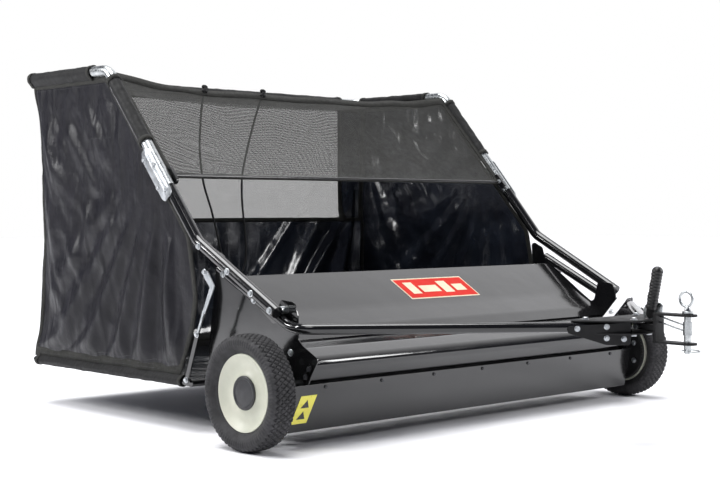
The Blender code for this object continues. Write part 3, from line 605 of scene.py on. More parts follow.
# ---------------------------------------------------------------- wheels
def tyre_warp(along, radius, angle):
    """Raises diamond blocks on the tread and ribs on the shoulders of a plain tyre's section."""
    blocks = 60
    turns = angle * blocks / (2 * math.pi)
    across = along / 0.0092
    crown = ramp(0.0300 - abs(along), 0, 0.002) * ramp(radius, 0.1215, 0.002)
    if crown:
        one = abs((turns + across / 2) % 1 - 0.5)
        two = abs((turns - across / 2) % 1 - 0.5)
        radius += 0.0031 * ramp(0.40 - max(one, two), 0, 0.05) * crown
    shoulder = ramp(radius, 0.107, 0.003) * ramp(0.124 - radius, 0, 0.003)
    if shoulder and abs(along) > 0.024:
        rib = ramp(0.30 - abs((turns * 1.5) % 1 - 0.5), 0, 0.08)
        along += math.copysign(0.0014 * rib * shoulder, along)
    return along, radius


def wheel(side_name, side):
    """A wheel's tyre, dished rim and hub cap."""
    body = "wheel_" + side_name
    centre = at(side * TRACK_HALF, 0, AXLE_Z)
    axis = (side, 0, 0)
    section = [(0.0150, 0.0897), (0.0185, 0.0900), (0.0215, 0.0925), (0.0228, 0.0950), (0.0262, 0.0985),
               (0.0310, 0.1045), (0.0330, 0.1110), (0.0330, 0.1175), (0.0312, 0.1230), (0.0275, 0.1268),
               (0.0200, 0.1290), (0.0100, 0.1299), (0.0, 0.1301)]
    half = smooth_route([Vector((x, r, 0)) for x, r in section], 5)
    outline = [(p.x, p.y) for p in half] + [(-p.x, p.y) for p in half[-2::-1]]
    spun("knobby_tyre_" + side_name, outline, centre, axis, 480, "tyre_rubber", body, 50,
         "tyre_" + side_name, closed=True, warp=tyre_warp)
    rim = [(0.0195, 0.0893), (0.0200, 0.0878), (0.0188, 0.0858), (0.0150, 0.0815), (0.0108, 0.0750),
           (0.0072, 0.0680), (0.0054, 0.0610), (0.0056, 0.0545), (0.0076, 0.0485), (0.0102, 0.0438),
           (0.0118, 0.0410), (0.0122, 0.0370), (0.0122, 0.0098), (-0.0255, 0.0098), (-0.0262, 0.0120),
           (-0.0262, 0.0185), (-0.0055, 0.0205), (-0.0020, 0.0300), (-0.0010, 0.0400), (-0.0030, 0.0530),
           (-0.0020, 0.0670), (0.0030, 0.0770), (0.0048, 0.0858), (-0.0255, 0.0858), (-0.0262, 0.0870),
           (-0.0262, 0.0893)]
    dish = spun("dished_rim_" + side_name, rim, centre, axis, 96, "rim_cream", body, 28,
                "wheel_rim_" + side_name, closed=True)
    bevelled(dish, 0.0009, 28)
    cap = [(0.0124, 0.0380), (0.0140, 0.0392), (0.0162, 0.0388), (0.0178, 0.0366), (0.0182, 0.0344),
           (0.0174, 0.0322), (0.0160, 0.0308), (0.0162, 0.0284), (0.0180, 0.0180), (0.0188, 0.0020)]
    spun("cap_" + side_name, cap, centre, axis, 64, "cap_black", body, 24, "hub_cap_" + side_name)


# ---------------------------------------------------------------- brush
def bristles():
    """Four rows of bristle tufts, each on the strip that holds it."""
    random.seed(11)
    centre = at(0, BRUSH_Y, BRUSH_Z)
    half_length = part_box("bristle_row_1")[1].x - 0.004
    root, tip = 0.0222, 0.0975
    rows, tufts, per_tuft = 4, 84, 9
    low, high = root - 0.0004, root + 0.007
    strip = [(-0.0062, low), (-0.0062, high), (0.0062, high), (0.0062, low)]
    for row in range(rows):
        turn = Matrix.Rotation(2 * math.pi * (row + 0.5) / rows, 3, "X")
        bm = bmesh.new()
        prism(bm, *[[centre + turn @ Vector((x, a, b)) for a, b in strip]
                    for x in (-half_length, half_length)])
        for t in range(tufts):
            x = -half_length + 0.006 + (2 * half_length - 0.012) * t / (tufts - 1)
            for _ in range(per_tuft):
                bristle(bm, centre, turn, x, root, tip)
        name = "bristle_row_%d" % (row + 1)
        placed("bristles_%d" % (row + 1), bm, "bristle", "brush", 60, name)


def bristle(bm, centre, turn, x, root, tip):
    """One fibre from the strip to the tip, a little bent."""
    foot = Vector((x + random.uniform(-0.002, 0.002), random.uniform(-0.003, 0.003), root + 0.005))
    lean = Vector((random.uniform(-0.006, 0.006), random.uniform(-0.007, 0.007), 0))
    end = foot + lean
    end.z = tip - random.uniform(0, 0.006)
    bend = foot.lerp(end, 0.55) - lean * 0.15
    rings = []
    for p, thick in ((foot, 0.0010), (bend, 0.0009), (end, 0.0005)):
        corners = [p + Vector((thick * math.cos(a), thick * math.sin(a), 0)) for a in (0, 2.1, 4.2)]
        rings.append([bm.verts.new(centre + turn @ corner) for corner in corners])
    for near, far in zip(rings, rings[1:]):
        skin(bm, near, far)
    bm.faces.new(rings[-1])


# ---------------------------------------------------------------- housing
def housing():
    """Hood, front panel, skirt, side plates and the small parts fixed to them."""
    plate = 0.003
    inner = SIDE_X - plate - 0.0003
    hood = rounded([(0.212, 0.369), (0.208, 0.389), (0.085, 0.3020), (0.024, 0.2655), (-0.004, 0.243)],
                   [0, 0.006, 0.4, 0.09, 0], 14)
    panel = rounded([(0.010, 0.246), (-0.050, 0.232), (-0.106, 0.206), (-0.080, 0.161), (-0.060, 0.1535)],
                    [0, 0.055, 0.024, 0.010, 0], 14)
    panel = [p - Vector((0, 0.0032)) for p in panel]
    skirt = rounded([(-0.072, 0.147), (-0.050, 0.038), (-0.039, 0.038)], [0, 0.004, 0], 5)
    skirt_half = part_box("front_skirt")[1].x
    for name, line, half, node_name in (("hood_sheet", hood, inner, "hood"),
                                        ("bulged_panel", panel, inner, "front_panel"),
                                        ("skirt_sheet", skirt, skirt_half, "front_skirt")):
        flat_plate(name, sheet_line(line, 0.002), -half, half, "root", node_name)
    outline = rounded([(0.262, 0.384), (0.268, 0.452), (0.226, 0.432), (0.216, 0.3985),
                       (0.086, 0.3075), (0.034, 0.2735), (0.018, 0.338), (-0.032, 0.334),
                       (-0.044, 0.304), (-0.046, 0.249), (-0.060, 0.237), (-0.116, 0.209),
                       (-0.090, 0.168), (-0.0805, 0.1500), (-0.0670, 0.1495), (-0.0465, 0.044),
                       (0.010, 0.040), (0.160, 0.052), (0.290, 0.120), (0.290, 0.210)],
                      [0.010, 0.010, 0.012, 0.010, 0, 0.012, 0.012, 0.012, 0.010, 0.006, 0.02,
                       0.010, 0.01, 0.001, 0.001, 0.008, 0.03, 0.05, 0.02, 0.02], 8, closed=True)
    slot_ends = (Vector((-0.0850, 0.1880)), Vector((-0.0680, 0.1610)))
    holes = [arc((BRUSH_Y, BRUSH_Z), 0.0150, 0, 345, 23), arc((0, AXLE_Z), 0.0098, 0, 345, 23),
             stadium(*slot_ends, 0.0078)]
    for side_name, side in SIDES:
        out = (side, 0, 0)
        flat_plate("cheek_plate_" + side_name, outline, side * (SIDE_X - plate), side * SIDE_X, "root",
                   "side_plate_" + side_name, holes, edge=(0.0007, 50, 2))
        bolts("cheek_bolts_" + side_name,
              [at(side * SIDE_X, *spot) for spot in ((0.245, 0.180), (-0.020, 0.2175))], out, 0.0060)
        spots = [slot_ends[0].lerp(slot_ends[1], share) for share in (0.12, 0.80)]
        bolts("slot_bolts_" + side_name, [at(side * (SIDE_X - 0.0005), *spot) for spot in spots],
              out, 0.0050, finish="cap_black")
        dust_cover(side_name, side)
    bm = bmesh.new()
    strip = [(-0.0585, 0.139), (-0.0565, 0.139), (-0.0565, 0.158), (-0.0585, 0.158)]
    extruded(bm, strip, [], -inner, inner)
    placed("seam_strip", bm, "dull_black", "root", 40)
    bolts("skirt_screws", [at(-0.54 + 1.08 * k / 6, -0.0703, 0.1385) for k in range(7)], (0, -1, -0.2),
          0.0042, finish="cap_black", washer=False)


def dust_cover(side_name, side):
    """The fixed black cover on a wheel's inner side, open round the brush shaft, with its bolts."""
    face = SIDE_X + 0.0705
    profile = [(0, 0.0172), (0.0015, 0.0172), (0.0030, 0.0400), (0.0050, 0.0660), (0.0060, 0.0800),
               (0.0020, 0.0830), (-0.0030, 0.0835)]
    shaft_gap = 0.0215
    steps = 96

    def spot(x, radius, angle):
        return at(side * (face + x), radius * math.cos(angle), AXLE_Z + radius * math.sin(angle))
    bm = bmesh.new()
    rows = [[bm.verts.new(spot(x, radius, 2 * math.pi * k / steps)) for k in range(steps)]
            for x, radius in profile]
    hub = at(0, BRUSH_Y, BRUSH_Z)
    for near, far in zip(rows, rows[1:]):
        for j in range(steps):
            quad = (near[j], near[(j + 1) % steps], far[(j + 1) % steps], far[j])
            centre = sum((v.co for v in quad), Vector()) / 4
            if math.hypot(centre.y - hub.y, centre.z - hub.z) > shaft_gap:
                bm.faces.new(quad)
    loose = [v for v in bm.verts if not v.link_faces]
    bmesh.ops.delete(bm, geom=loose, context="VERTS")
    cover = placed("dust_cover_" + side_name, bm, "dull_black", "root", 40)
    thicken(cover, 0.0012, 0)
    spots = [spot(0.0030, 0.060, math.radians(angle)) for angle in (205, 250, 155, 110, 65)]
    bolts("dust_cover_bolts_" + side_name, spots, (-side, 0, 0), 0.0058)


def flat_patch(name, corners, finish):
    """A thin label with its corners on a flat face, given anticlockwise seen from outside."""
    normal = (corners[1] - corners[0]).cross(corners[2] - corners[0]).normalized()
    bm = bmesh.new()
    prism(bm, *[[p + normal * height for p in corners] for height in (0.00005, 0.0004)])
    placed(name, bm, finish, "root", 30)


def labels():
    """A red name plate shape and a yellow patch, both without lettering."""
    rear_left, rear_right = at(-0.098, 0.1685, 0.3610), at(0.168, 0.1685, 0.3610)
    front_left, front_right = at(-0.084, 0.0990, 0.3119), at(0.180, 0.0990, 0.3119)

    def spot(u, v):
        """A point of the plate: u to the right, v from the front edge to the rear one."""
        return front_left.lerp(front_right, u).lerp(rear_left.lerp(rear_right, u), v)
    slope = (spot(1, 0) - spot(0, 0)).cross(spot(0, 1) - spot(0, 0)).normalized()

    def block(name, low, high, finish, lift):
        (u0, v0), (u1, v1) = low, high
        corners = [spot(u0, v0), spot(u1, v0), spot(u1, v1), spot(u0, v1)]
        flat_patch(name, [c + slope * lift for c in corners], finish)
    block("plate_label_edge", (0, 0), (1, 1), "label_cream", 0.0)
    block("plate_label", (0.015, 0.05), (0.985, 0.95), "label_red", 0.0004)
    bars = ((0.10, 0.22, 0.24, 0.80), (0.27, 0.52, 0.30, 0.62), (0.57, 0.70, 0.24, 0.80),
            (0.75, 0.90, 0.30, 0.62))
    for k, (left, right, low, high) in enumerate(bars):
        block("plate_label_bar_%d" % (k + 1), (left, low), (right, high), "label_cream", 0.0008)

    def face(u, v, lift=0.0):
        """A point of the yellow patch on the leaning skirt: u to the right, v upwards."""
        z = 0.0585 + 0.0640 * v
        x = -0.6335 + 0.0225 * v + 0.0475 * u
        return at(x, -0.0720 + (0.1470 - z) * 0.2018 - 0.0003 - lift, z)
    flat_patch("side_label", [face(0, 0), face(1, 0), face(1, 1), face(0, 1)], "label_yellow")
    for k, v in enumerate((0.16, 0.56)):
        corners = [face(0.24, v, 0.0004), face(0.76, v, 0.0004), face(0.50, v + 0.28, 0.0004)]
        flat_patch("side_label_block_%d" % (k + 1), corners, "cap_black")


def corner_strap():
    """The bright strap from the right cheek plate over the hood's front corner."""
    bends = [(0.6335, 0.2700), (0.6325, 0.2960), (0.6060, 0.2945), (0.5330, 0.2405), (0.520, 0.2390)]
    line = rounded(bends, [0, 0.006, 0.012, 0.006, 0], 6)
    outline = sheet_line(line, 0.002)
    bm = bmesh.new()
    prism(bm, *[[at(p.x, y, p.y) for p in outline] for y in (-0.082, -0.048)])
    bevelled(placed("corner_strap", bm, "strap_white", "root", 40), 0.0005, 50, 2)
    bolts("corner_strap_bolt", [at(0.552, -0.065, 0.2570)], (-0.59, 0, 0.80), 0.0055)


# ---------------------------------------------------------------- hitch
def hitch():
    """The two drawbar tubes with their apex gussets, and the bolts of the apex."""
    hitch_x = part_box("hitch_tube_right")[1].x - HITCH_TUBE
    height = 0.277
    corners = [(0.150, 0.0030), (0.004, 0.0120), (0.004, -0.0400), (0.060, -0.0400), (0.150, -0.0120)]
    corners = rounded(corners, [0.006, 0.004, 0.008, 0.012, 0.006], 6, closed=True)
    for side_name, side in SIDES:
        upper = at(side * hitch_x, 0.226, 0.4040)
        low = at(side * hitch_x, -0.034, height + 0.0005)
        bend = at(side * hitch_x, -0.084, height - 0.0010)
        toe = at(side * 0.036, -0.556, height)
        level = bend.lerp(toe, 0.76)
        level.z = toe.z
        path = rounded([upper, low, bend, level, toe], [0, 0.110, 0.045, 0, 0], 14)
        pipe("drawbar_tube_" + side_name, path, HITCH_TUBE, 28, "root", "hitch_tube_" + side_name)
        along = (toe - level).normalized()
        outward = Vector((-along.y, along.x, 0)) * side

        def gusset_spot(back, rise, out):
            """A place on the tube's outer side: back from the toe, up, and out from the tube."""
            return toe - along * back + Vector((0, 0, rise)) + outward * (HITCH_TUBE + out)
        bm = bmesh.new()
        prism(bm, *[[gusset_spot(p.x, p.y, out) for p in corners] for out in (0.0002, 0.0032)])
        gusset = placed("apex_gusset_" + side_name, bm, "dull_black", "root", 40)
        bevelled(gusset, 0.0006, 40, 2)
        bm = bmesh.new()
        for back, rise in ((0.128, -0.002), (0.060, 0.002), (0.060, -0.024), (0.020, -0.026)):
            bolt(bm, gusset_spot(back, rise, 0.0032), outward, 0.0050)
        for share in (0.10, 0.55):
            spot = upper.lerp(low, share)
            bolt(bm, spot + Vector((side * (HITCH_TUBE - 0.0006), 0, 0)), (side, 0, 0), 0.0062)
        placed("drawbar_bolts_" + side_name, bm, "bracket_zinc", "root", 30)
    bm = bmesh.new()
    top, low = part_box("hitch_plate_top")[1].z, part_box("hitch_plate_bottom")[0].z
    for x, y in ((-0.030, -0.560), (0.030, -0.560), (-0.098, -0.474), (0.098, -0.474)):
        bolt(bm, at(x, y, top), (0, 0, 1), 0.0064)
        bolt(bm, at(x, y, low), (0, 0, -1), 0.0064)
    placed("hitch_plate_bolts", bm, "bracket_zinc", "root", 30)
    bm = bmesh.new()
    for end in (1, -1):
        bolt(bm, middle("yoke_pivot_bolt") + Vector((0.022 * end, 0, 0)), (end, 0, 0), 0.0062, False)
    placed("yoke_bolt_heads", bm, "bracket_zinc", "root", 30)


def grip():
    """The lever's moulded grip: finger ribs and a rounded top."""
    lean = math.radians(11)
    strap = middle("height_lever").x
    up = Vector((0, -math.sin(lean), math.cos(lean)))
    pivot = (-0.568, 0.3050)
    base = at(strap, *pivot) + up * 0.012
    length = 0.1003
    profile = []
    steps = 90
    for k in range(steps + 1):
        s = k / steps
        radius = 0.0126
        if 0.04 < s < 0.86:
            radius += 0.0006 * math.sin((s - 0.04) / 0.82 * 2 * math.pi * 11)
        if s > 0.86:
            radius = 0.0130 * math.sqrt(max(0.0, 1 - ((s - 0.86) / 0.14) ** 2)) + 0.0002
        if s < 0.03:
            radius = 0.0119 + 0.02 * s
        profile.append((length * s, radius))

    def finger(along, radius, angle):
        wave = math.cos(along / length * 2 * math.pi * 3.6) * max(0.0, math.cos(angle - math.pi / 2)) ** 2
        return along, radius + 0.0009 * wave * (1 if along < length * 0.84 else 0)
    spun("finger_grip", profile, base, up, 48, "grip_vinyl", "lever", 50, "lever_grip", warp=finger)
    bolts("lever_pivot_nut", [at(strap + 0.0026, *pivot)], (1, 0, 0), 0.0055, "lever")


def pin_and_clip():
    """The hitch pin with its ring, the tongue's keeper tube and wires, and the hairpin clip."""
    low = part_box("hitch_pin")[0]
    pin_y = -0.684
    radius = 0.0078
    foot = low.z
    collar = 0.3113
    bm = bmesh.new()
    profile = [(0, radius - 0.0022), (0.003, radius - 0.0002), (0.004, radius), (collar - foot, radius),
               (collar - foot, radius + 0.0040), (collar - foot + 0.0008, radius + 0.0045),
               (collar - foot + 0.0062, radius + 0.0045), (collar - foot + 0.007, radius + 0.0038),
               (collar - foot + 0.0072, radius - 0.0006), (collar - foot + 0.0150, radius - 0.0012),
               (collar - foot + 0.0178, radius - 0.0035)]
    turned(bm, profile, at(0, pin_y, foot), (0, 0, 1), 40)
    centre = at(0, pin_y + 0.004, 0.345)
    ring = [centre + Vector((0, math.cos(a), math.sin(a))) * 0.0165
            for a in (2 * math.pi * k / 48 for k in range(48))]
    sweep(bm, ring, circle(0.0029, 14), up=(1, 0, 0), closed=True)
    placed("pin_with_ring", bm, "zinc_plate", "pin", 40, "hitch_pin")
    bm = bmesh.new()
    keeper = [(0, 0.0087), (0, 0.0102), (0.0300, 0.0102), (0.0300, 0.0087)]
    turned(bm, keeper, at(0, pin_y, 0.2640), (0, 0, 1), 40, closed=True)
    for high, drop in ((0.3030, 0.0170), (0.2900, 0.0165)):
        wire = [at(0.001, -0.609, high), at(0.001, -0.640, high - drop * 0.5),
                at(0.001, -0.6745, high - drop)]
        sweep(bm, wire, circle(0.0019, 12), up=(1, 0, 0))
    placed("pin_keeper", bm, "zinc_plate", "tongue", 40)
    z = 0.2305
    points = [at(-0.022, pin_y, z), at(0.016, pin_y, z)]
    points += [at(0.016 + 0.0085 * math.sin(a), pin_y - 0.0105 + 0.0105 * math.cos(a), z - 0.004 * k / 16)
               for k, a in ((k, math.pi * k / 16) for k in range(1, 17))]
    low = z - 0.004
    tail = smooth_route([points[-1], at(0.004, pin_y - 0.0155, low), at(-0.006, pin_y - 0.0125, low),
                         at(-0.022, pin_y - 0.018, low)], 6)
    bm = bmesh.new()
    sweep(bm, points[:-1] + tail, circle(0.0016, 12))
    placed("hairpin_spring", bm, "zinc_plate", "clip", 40, "hairpin_clip")


# ---------------------------------------------------------------- hopper frame
def bow_path(side):
    """The line of an upper bow, from the splice over both bends to the rear bar."""
    x = side * HOPPER_X
    return rounded([at(x, *(SPLICE + STEEP * 0.0015)), at(x, *CORNER), at(x, *REAR_TOP),
                    at(side * REAR_JOINT, *REAR_TOP)], [0, 0.055, 0.045, 0], 16)


def hopper_frame():
    """Arms, bows and bars of the hopper, with the brackets, struts, bolts and clips on them."""
    for side_name, side in SIDES:
        x = side * HOPPER_X
        arm = rounded([at(x, PIVOT.x - 0.0105, PIVOT.y - 0.0046), at(x, *ELBOW),
                       at(x, *(SPLICE - STEEP * 0.0015))], [0, 0.07, 0], 16)
        pipe("lower_arm_" + side_name, arm, TUBE, 32, "hopper", "hopper_arm_" + side_name)
        pipe("upper_bow_" + side_name, bow_path(side), TUBE, 32, "hopper", "hopper_bow_" + side_name,
             "zinc_plate", (side, 0, 0))
        splice_plate(side_name, side)
        strut(side_name, side)
        spots = ((0.262, 0.4575), (0.150, 0.400), (0.062, 0.352), (-0.006, 0.316))
        bolts("arm_bolts_" + side_name, [at(side * (HOPPER_X + TUBE - 0.0006), *spot) for spot in spots],
              (side, 0, 0), 0.0062, "hopper")
        hem_clamp(side_name, side)
    reach = REAR_JOINT - 0.0003
    pipe("rear_bar", [at(x, *REAR_TOP) for x in (-reach, 0, reach)], TUBE - 0.001, 32, "hopper",
         "rear_top_bar")
    reach = HOPPER_X + FLOOR_TUBE
    pipe("front_rail", [at(x, FLOOR_FRONT, FLOOR_Z) for x in (-reach, 0, reach)], FLOOR_TUBE, 24, "hopper",
         "floor_front_rail")
    start = FLOOR_FRONT + FLOOR_TUBE + 0.0003
    path = rounded([at(-HOPPER_X, start, FLOOR_Z), at(-HOPPER_X, FLOOR_REAR, FLOOR_Z),
                    at(HOPPER_X, FLOOR_REAR, FLOOR_Z), at(HOPPER_X, start, FLOOR_Z)], 0.025, 12)
    pipe("floor_tube", path, FLOOR_TUBE, 24, "hopper", "floor_frame")


def strut(side_name, side):
    """The strut: a bright flattened end on the arm, a thin bright rod, and a black lower half."""
    x0, x1 = side * (HOPPER_X + TUBE + 0.0003), side * (HOPPER_X + TUBE + 0.0033)
    start, knee, waist = Vector((0.2330, 0.3960)), Vector((0.2040, 0.3613)), Vector((0.2380, 0.2960))
    first = Vector((knee.y - start.y, start.x - knee.x)).normalized()
    second = Vector((waist.y - knee.y, knee.x - waist.x)).normalized()
    turn = (first + second) / 2
    outline = rounded([start + first * 0.0105, knee + turn * 0.0110, waist + second * 0.0050,
                       waist - second * 0.0050, knee - turn * 0.0105, start - first * 0.0105],
                      [0.008, 0.012, 0.003, 0.003, 0.004, 0.008], 6, closed=True)
    flat_plate("strut_blade_" + side_name, outline, x0, x1, "hopper", "hopper_strut_" + side_name,
               finish="bracket_zinc", edge=(0.0007, 40, 3))
    middle_x = (x0 + x1) / 2
    joint, foot = Vector((0.2640, 0.2440)), Vector((0.3080, 0.1300))
    rod = [at(middle_x, *p) for p in (waist - Vector((0, -0.006)), waist.lerp(joint, 0.5), joint)]
    pipe("strut_rod_" + side_name, rod, 0.0042, 16, "hopper", finish="zinc_plate", up=(side, 0, 0))
    down = (foot - joint).normalized()
    wide = Vector((down.y, -down.x)) * 0.0065
    low = [joint - down * 0.008 - wide, joint - down * 0.008 + wide, foot + down * 0.008 + wide,
           foot + down * 0.008 - wide]
    flat_plate("strut_foot_" + side_name, rounded(low, 0.006, 6, closed=True), x0, x1, "hopper",
               edge=(0.0006, 40, 2))
    bolts("strut_bolts_" + side_name, [at(x1, *spot) for spot in (start, joint, foot)], (side, 0, 0),
          0.0058, "hopper")


def splice_plate(side_name, side):
    """A galvanised saddle over the joint of the two tubes, with a pressed rib and folded edges."""
    across = Vector((STEEP.y, -STEEP.x))
    centre = SPLICE + across * 0.008 + STEEP * 0.050
    half = 0.080
    path = [at(side * HOPPER_X, *(centre + STEEP * (half * (2 * k / 24 - 1)))) for k in range(25)]
    outer = [(-0.0215, 0.0125), (-0.0205, 0.0158), (-0.0175, 0.0172), (-0.0075, 0.0178), (-0.0045, 0.0212),
             (0.0045, 0.0212), (0.0075, 0.0178), (0.0175, 0.0172), (0.0205, 0.0158), (0.0215, 0.0125)]

    def section(share):
        end = min(share, 1 - share) * 2 * half
        width = 1 - 0.45 * max(0.0, 1 - end / 0.020) ** 2
        rib = ramp(end, 0.012, 0.006)
        line = [(a * width, b - (0.0034 * (1 - rib) if abs(a) < 0.005 else 0)) for a, b in outer]
        return line + [(a, b - 0.0022) for a, b in line[::-1]]
    bm = bmesh.new()
    sweep(bm, path, section, up=(side, 0, 0))
    saddle = placed("splice_saddle_" + side_name, bm, "bracket_zinc", "hopper", 30,
                    "splice_bracket_" + side_name)
    bevelled(saddle, 0.0004, 40, 2)
    spots = [centre + STEEP * along + across * sideways for along, sideways in
             ((-0.060, -0.0125), (-0.034, 0.0125), (0.022, -0.0125), (0.060, 0.0125))]
    bolts("splice_bolts_" + side_name, [at(side * (HOPPER_X + 0.0172), *spot) for spot in spots],
          (side, 0, 0), 0.0050, "hopper")


def hem_clamp(side_name, side):
    """The black clip that ties the guard's hem rod to the tube, with its bolt."""
    across = Vector((STEEP.y, -STEEP.x))
    seat = GUARD_HEM + STEEP * 0.006
    outline = rounded([seat - STEEP * 0.026 - across * 0.012, seat - STEEP * 0.026 + across * 0.006,
                       seat + STEEP * 0.026 + across * 0.006, seat + STEEP * 0.026 - across * 0.012],
                      0.006, 5, closed=True)
    near, far = side * (HOPPER_X - TUBE - 0.0012), side * (HOPPER_X - TUBE - 0.0085)
    flat_plate("hem_clamp_" + side_name, outline, near, far, "hopper", edge=(0.0008, 50, 2))
    bolts("hem_clamp_bolt_" + side_name, [at(far, *(seat - across * 0.003))], (-side, 0, 0), 0.0052,
          "hopper")


# ---------------------------------------------------------------- hopper bag
def stations(start, end, step, first=None, last=None):
    """Coordinates from start to end at about equal steps, with a first and a last step of their own."""
    sign = 1 if end > start else -1
    low = start + sign * first if first else start
    high = end - sign * last if last else end
    count = max(1, round(abs(high - low) / step))
    middle_part = [low + (high - low) * k / count for k in range(count + 1)]
    return ([start] if first else []) + middle_part + ([end] if last else [])


def panel(bm, rows, tag, edge_rows=(0, 0), edge_columns=(0, 0)):
    """Adds a grid of (point, (u, v)) to a cloth mesh; faces near an edge are marked as its band."""
    uv = bm.loops.layers.uv.verify()
    mark = bm.faces.layers.int["panel"]
    band = bm.faces.layers.int["band"]
    verts = [[bm.verts.new(p) for p, _ in row] for row in rows]
    high, wide = len(rows) - 1, len(rows[0]) - 1
    for i in range(high):
        for j in range(wide):
            corners = ((i, j), (i, j + 1), (i + 1, j + 1), (i + 1, j))
            face = bm.faces.new([verts[a][b] for a, b in corners])
            face[mark] = tag
            in_rows = edge_rows[0] <= i < high - edge_rows[1]
            in_columns = edge_columns[0] <= j < wide - edge_columns[1]
            face[band] = int(not (in_rows and in_columns))
            for loop, (a, b) in zip(face.loops, corners):
                loop[uv].uv = rows[a][b][1]


def cloth_mesh(name, bm):
    """The panels of a cloth joined where their edges meet."""
    bmesh.ops.remove_doubles(bm, verts=bm.verts, dist=0.0002)
    return linked_mesh(name, bm)


def blank_cloth():
    """An empty cloth mesh, with the layers that panel() fills."""
    bm = bmesh.new()
    bm.faces.layers.int.new("panel")
    bm.faces.layers.int.new("band")
    return bm


def wall_front(z):
    """The side wall's front edge at a height, as y from the axle."""
    knots = ((WALL_FOOT, 0.357), (0.255, 0.298), (0.330, 0.284), (0.4789, 0.314), (0.8885, 0.682),
             (0.93, 0.690))
    for (z0, y0), (z1, y1) in zip(knots, knots[1:]):
        if z <= z1:
            return y0 + (y1 - y0) * (z - z0) / (z1 - z0)
    return knots[-1][1]


def smooth_step(low, high, value):
    """From 0 at low to 1 at high, smoothly."""
    t = min(1.0, max(0.0, (value - low) / (high - low)))
    return t * t * (3 - 2 * t)


def wobble(x, y, z):
    """Smooth noise at a place, about -1 to 1."""
    return noise.noise(Vector((x, y, z)))


def ridges(x, y, z, layers=4):
    """Noise with sharp ridges, for creases."""
    return noise.ridged_multi_fractal(Vector((x, y, z)), 0.9, 2.1, layers, 1.0, 2.0)


def side_folds(y, z, seed):
    """How far a side wall's cloth stands out at (y, z).

    Folds fan down from a point near the front edge, with creases over them, crumples towards the upper
    rear corner, a soft drape, and short tugs under the top seam.
    """
    down, back = 0.72 - z, y - 0.45
    reach = math.hypot(down, back)
    turn = math.atan2(back, down)
    bend = turn + 0.10 * wobble(y * 3, z * 3, seed)
    strength = smooth_step(0.08, 0.42, reach) * smooth_step(1.10, 0.60, abs(turn - 0.20))
    pleat = 0.0
    for place, width, height in FAN:
        gap = (bend - place) / width
        pleat += height * math.exp(-gap * gap) if gap > 0 else height * math.exp(-gap * gap * 3.2)
    out = strength * pleat
    along, sideways = z * 0.62 + y * 0.30, z * 0.55 - y * 0.84
    area = smooth_step(0.56, 0.76, y) * smooth_step(0.90, 0.76, z) * smooth_step(0.22, 0.40, z)
    out -= 0.0085 * ridges(along * 4.0, sideways * 13.0, seed) * (0.20 + 0.80 * area)
    out -= 0.0035 * ridges(y * 9 + z * 7, z * 12 - y * 3, seed + 2) * area
    out += 0.010 * wobble(y * 4.5, z * 1.6, seed + 4) * smooth_step(0.9, 0.6, z)
    out -= 0.0055 * ridges(y * 16, z * 5 + y * 6, seed + 9, 3) * smooth_step(0.72, 0.86, z)
    return out


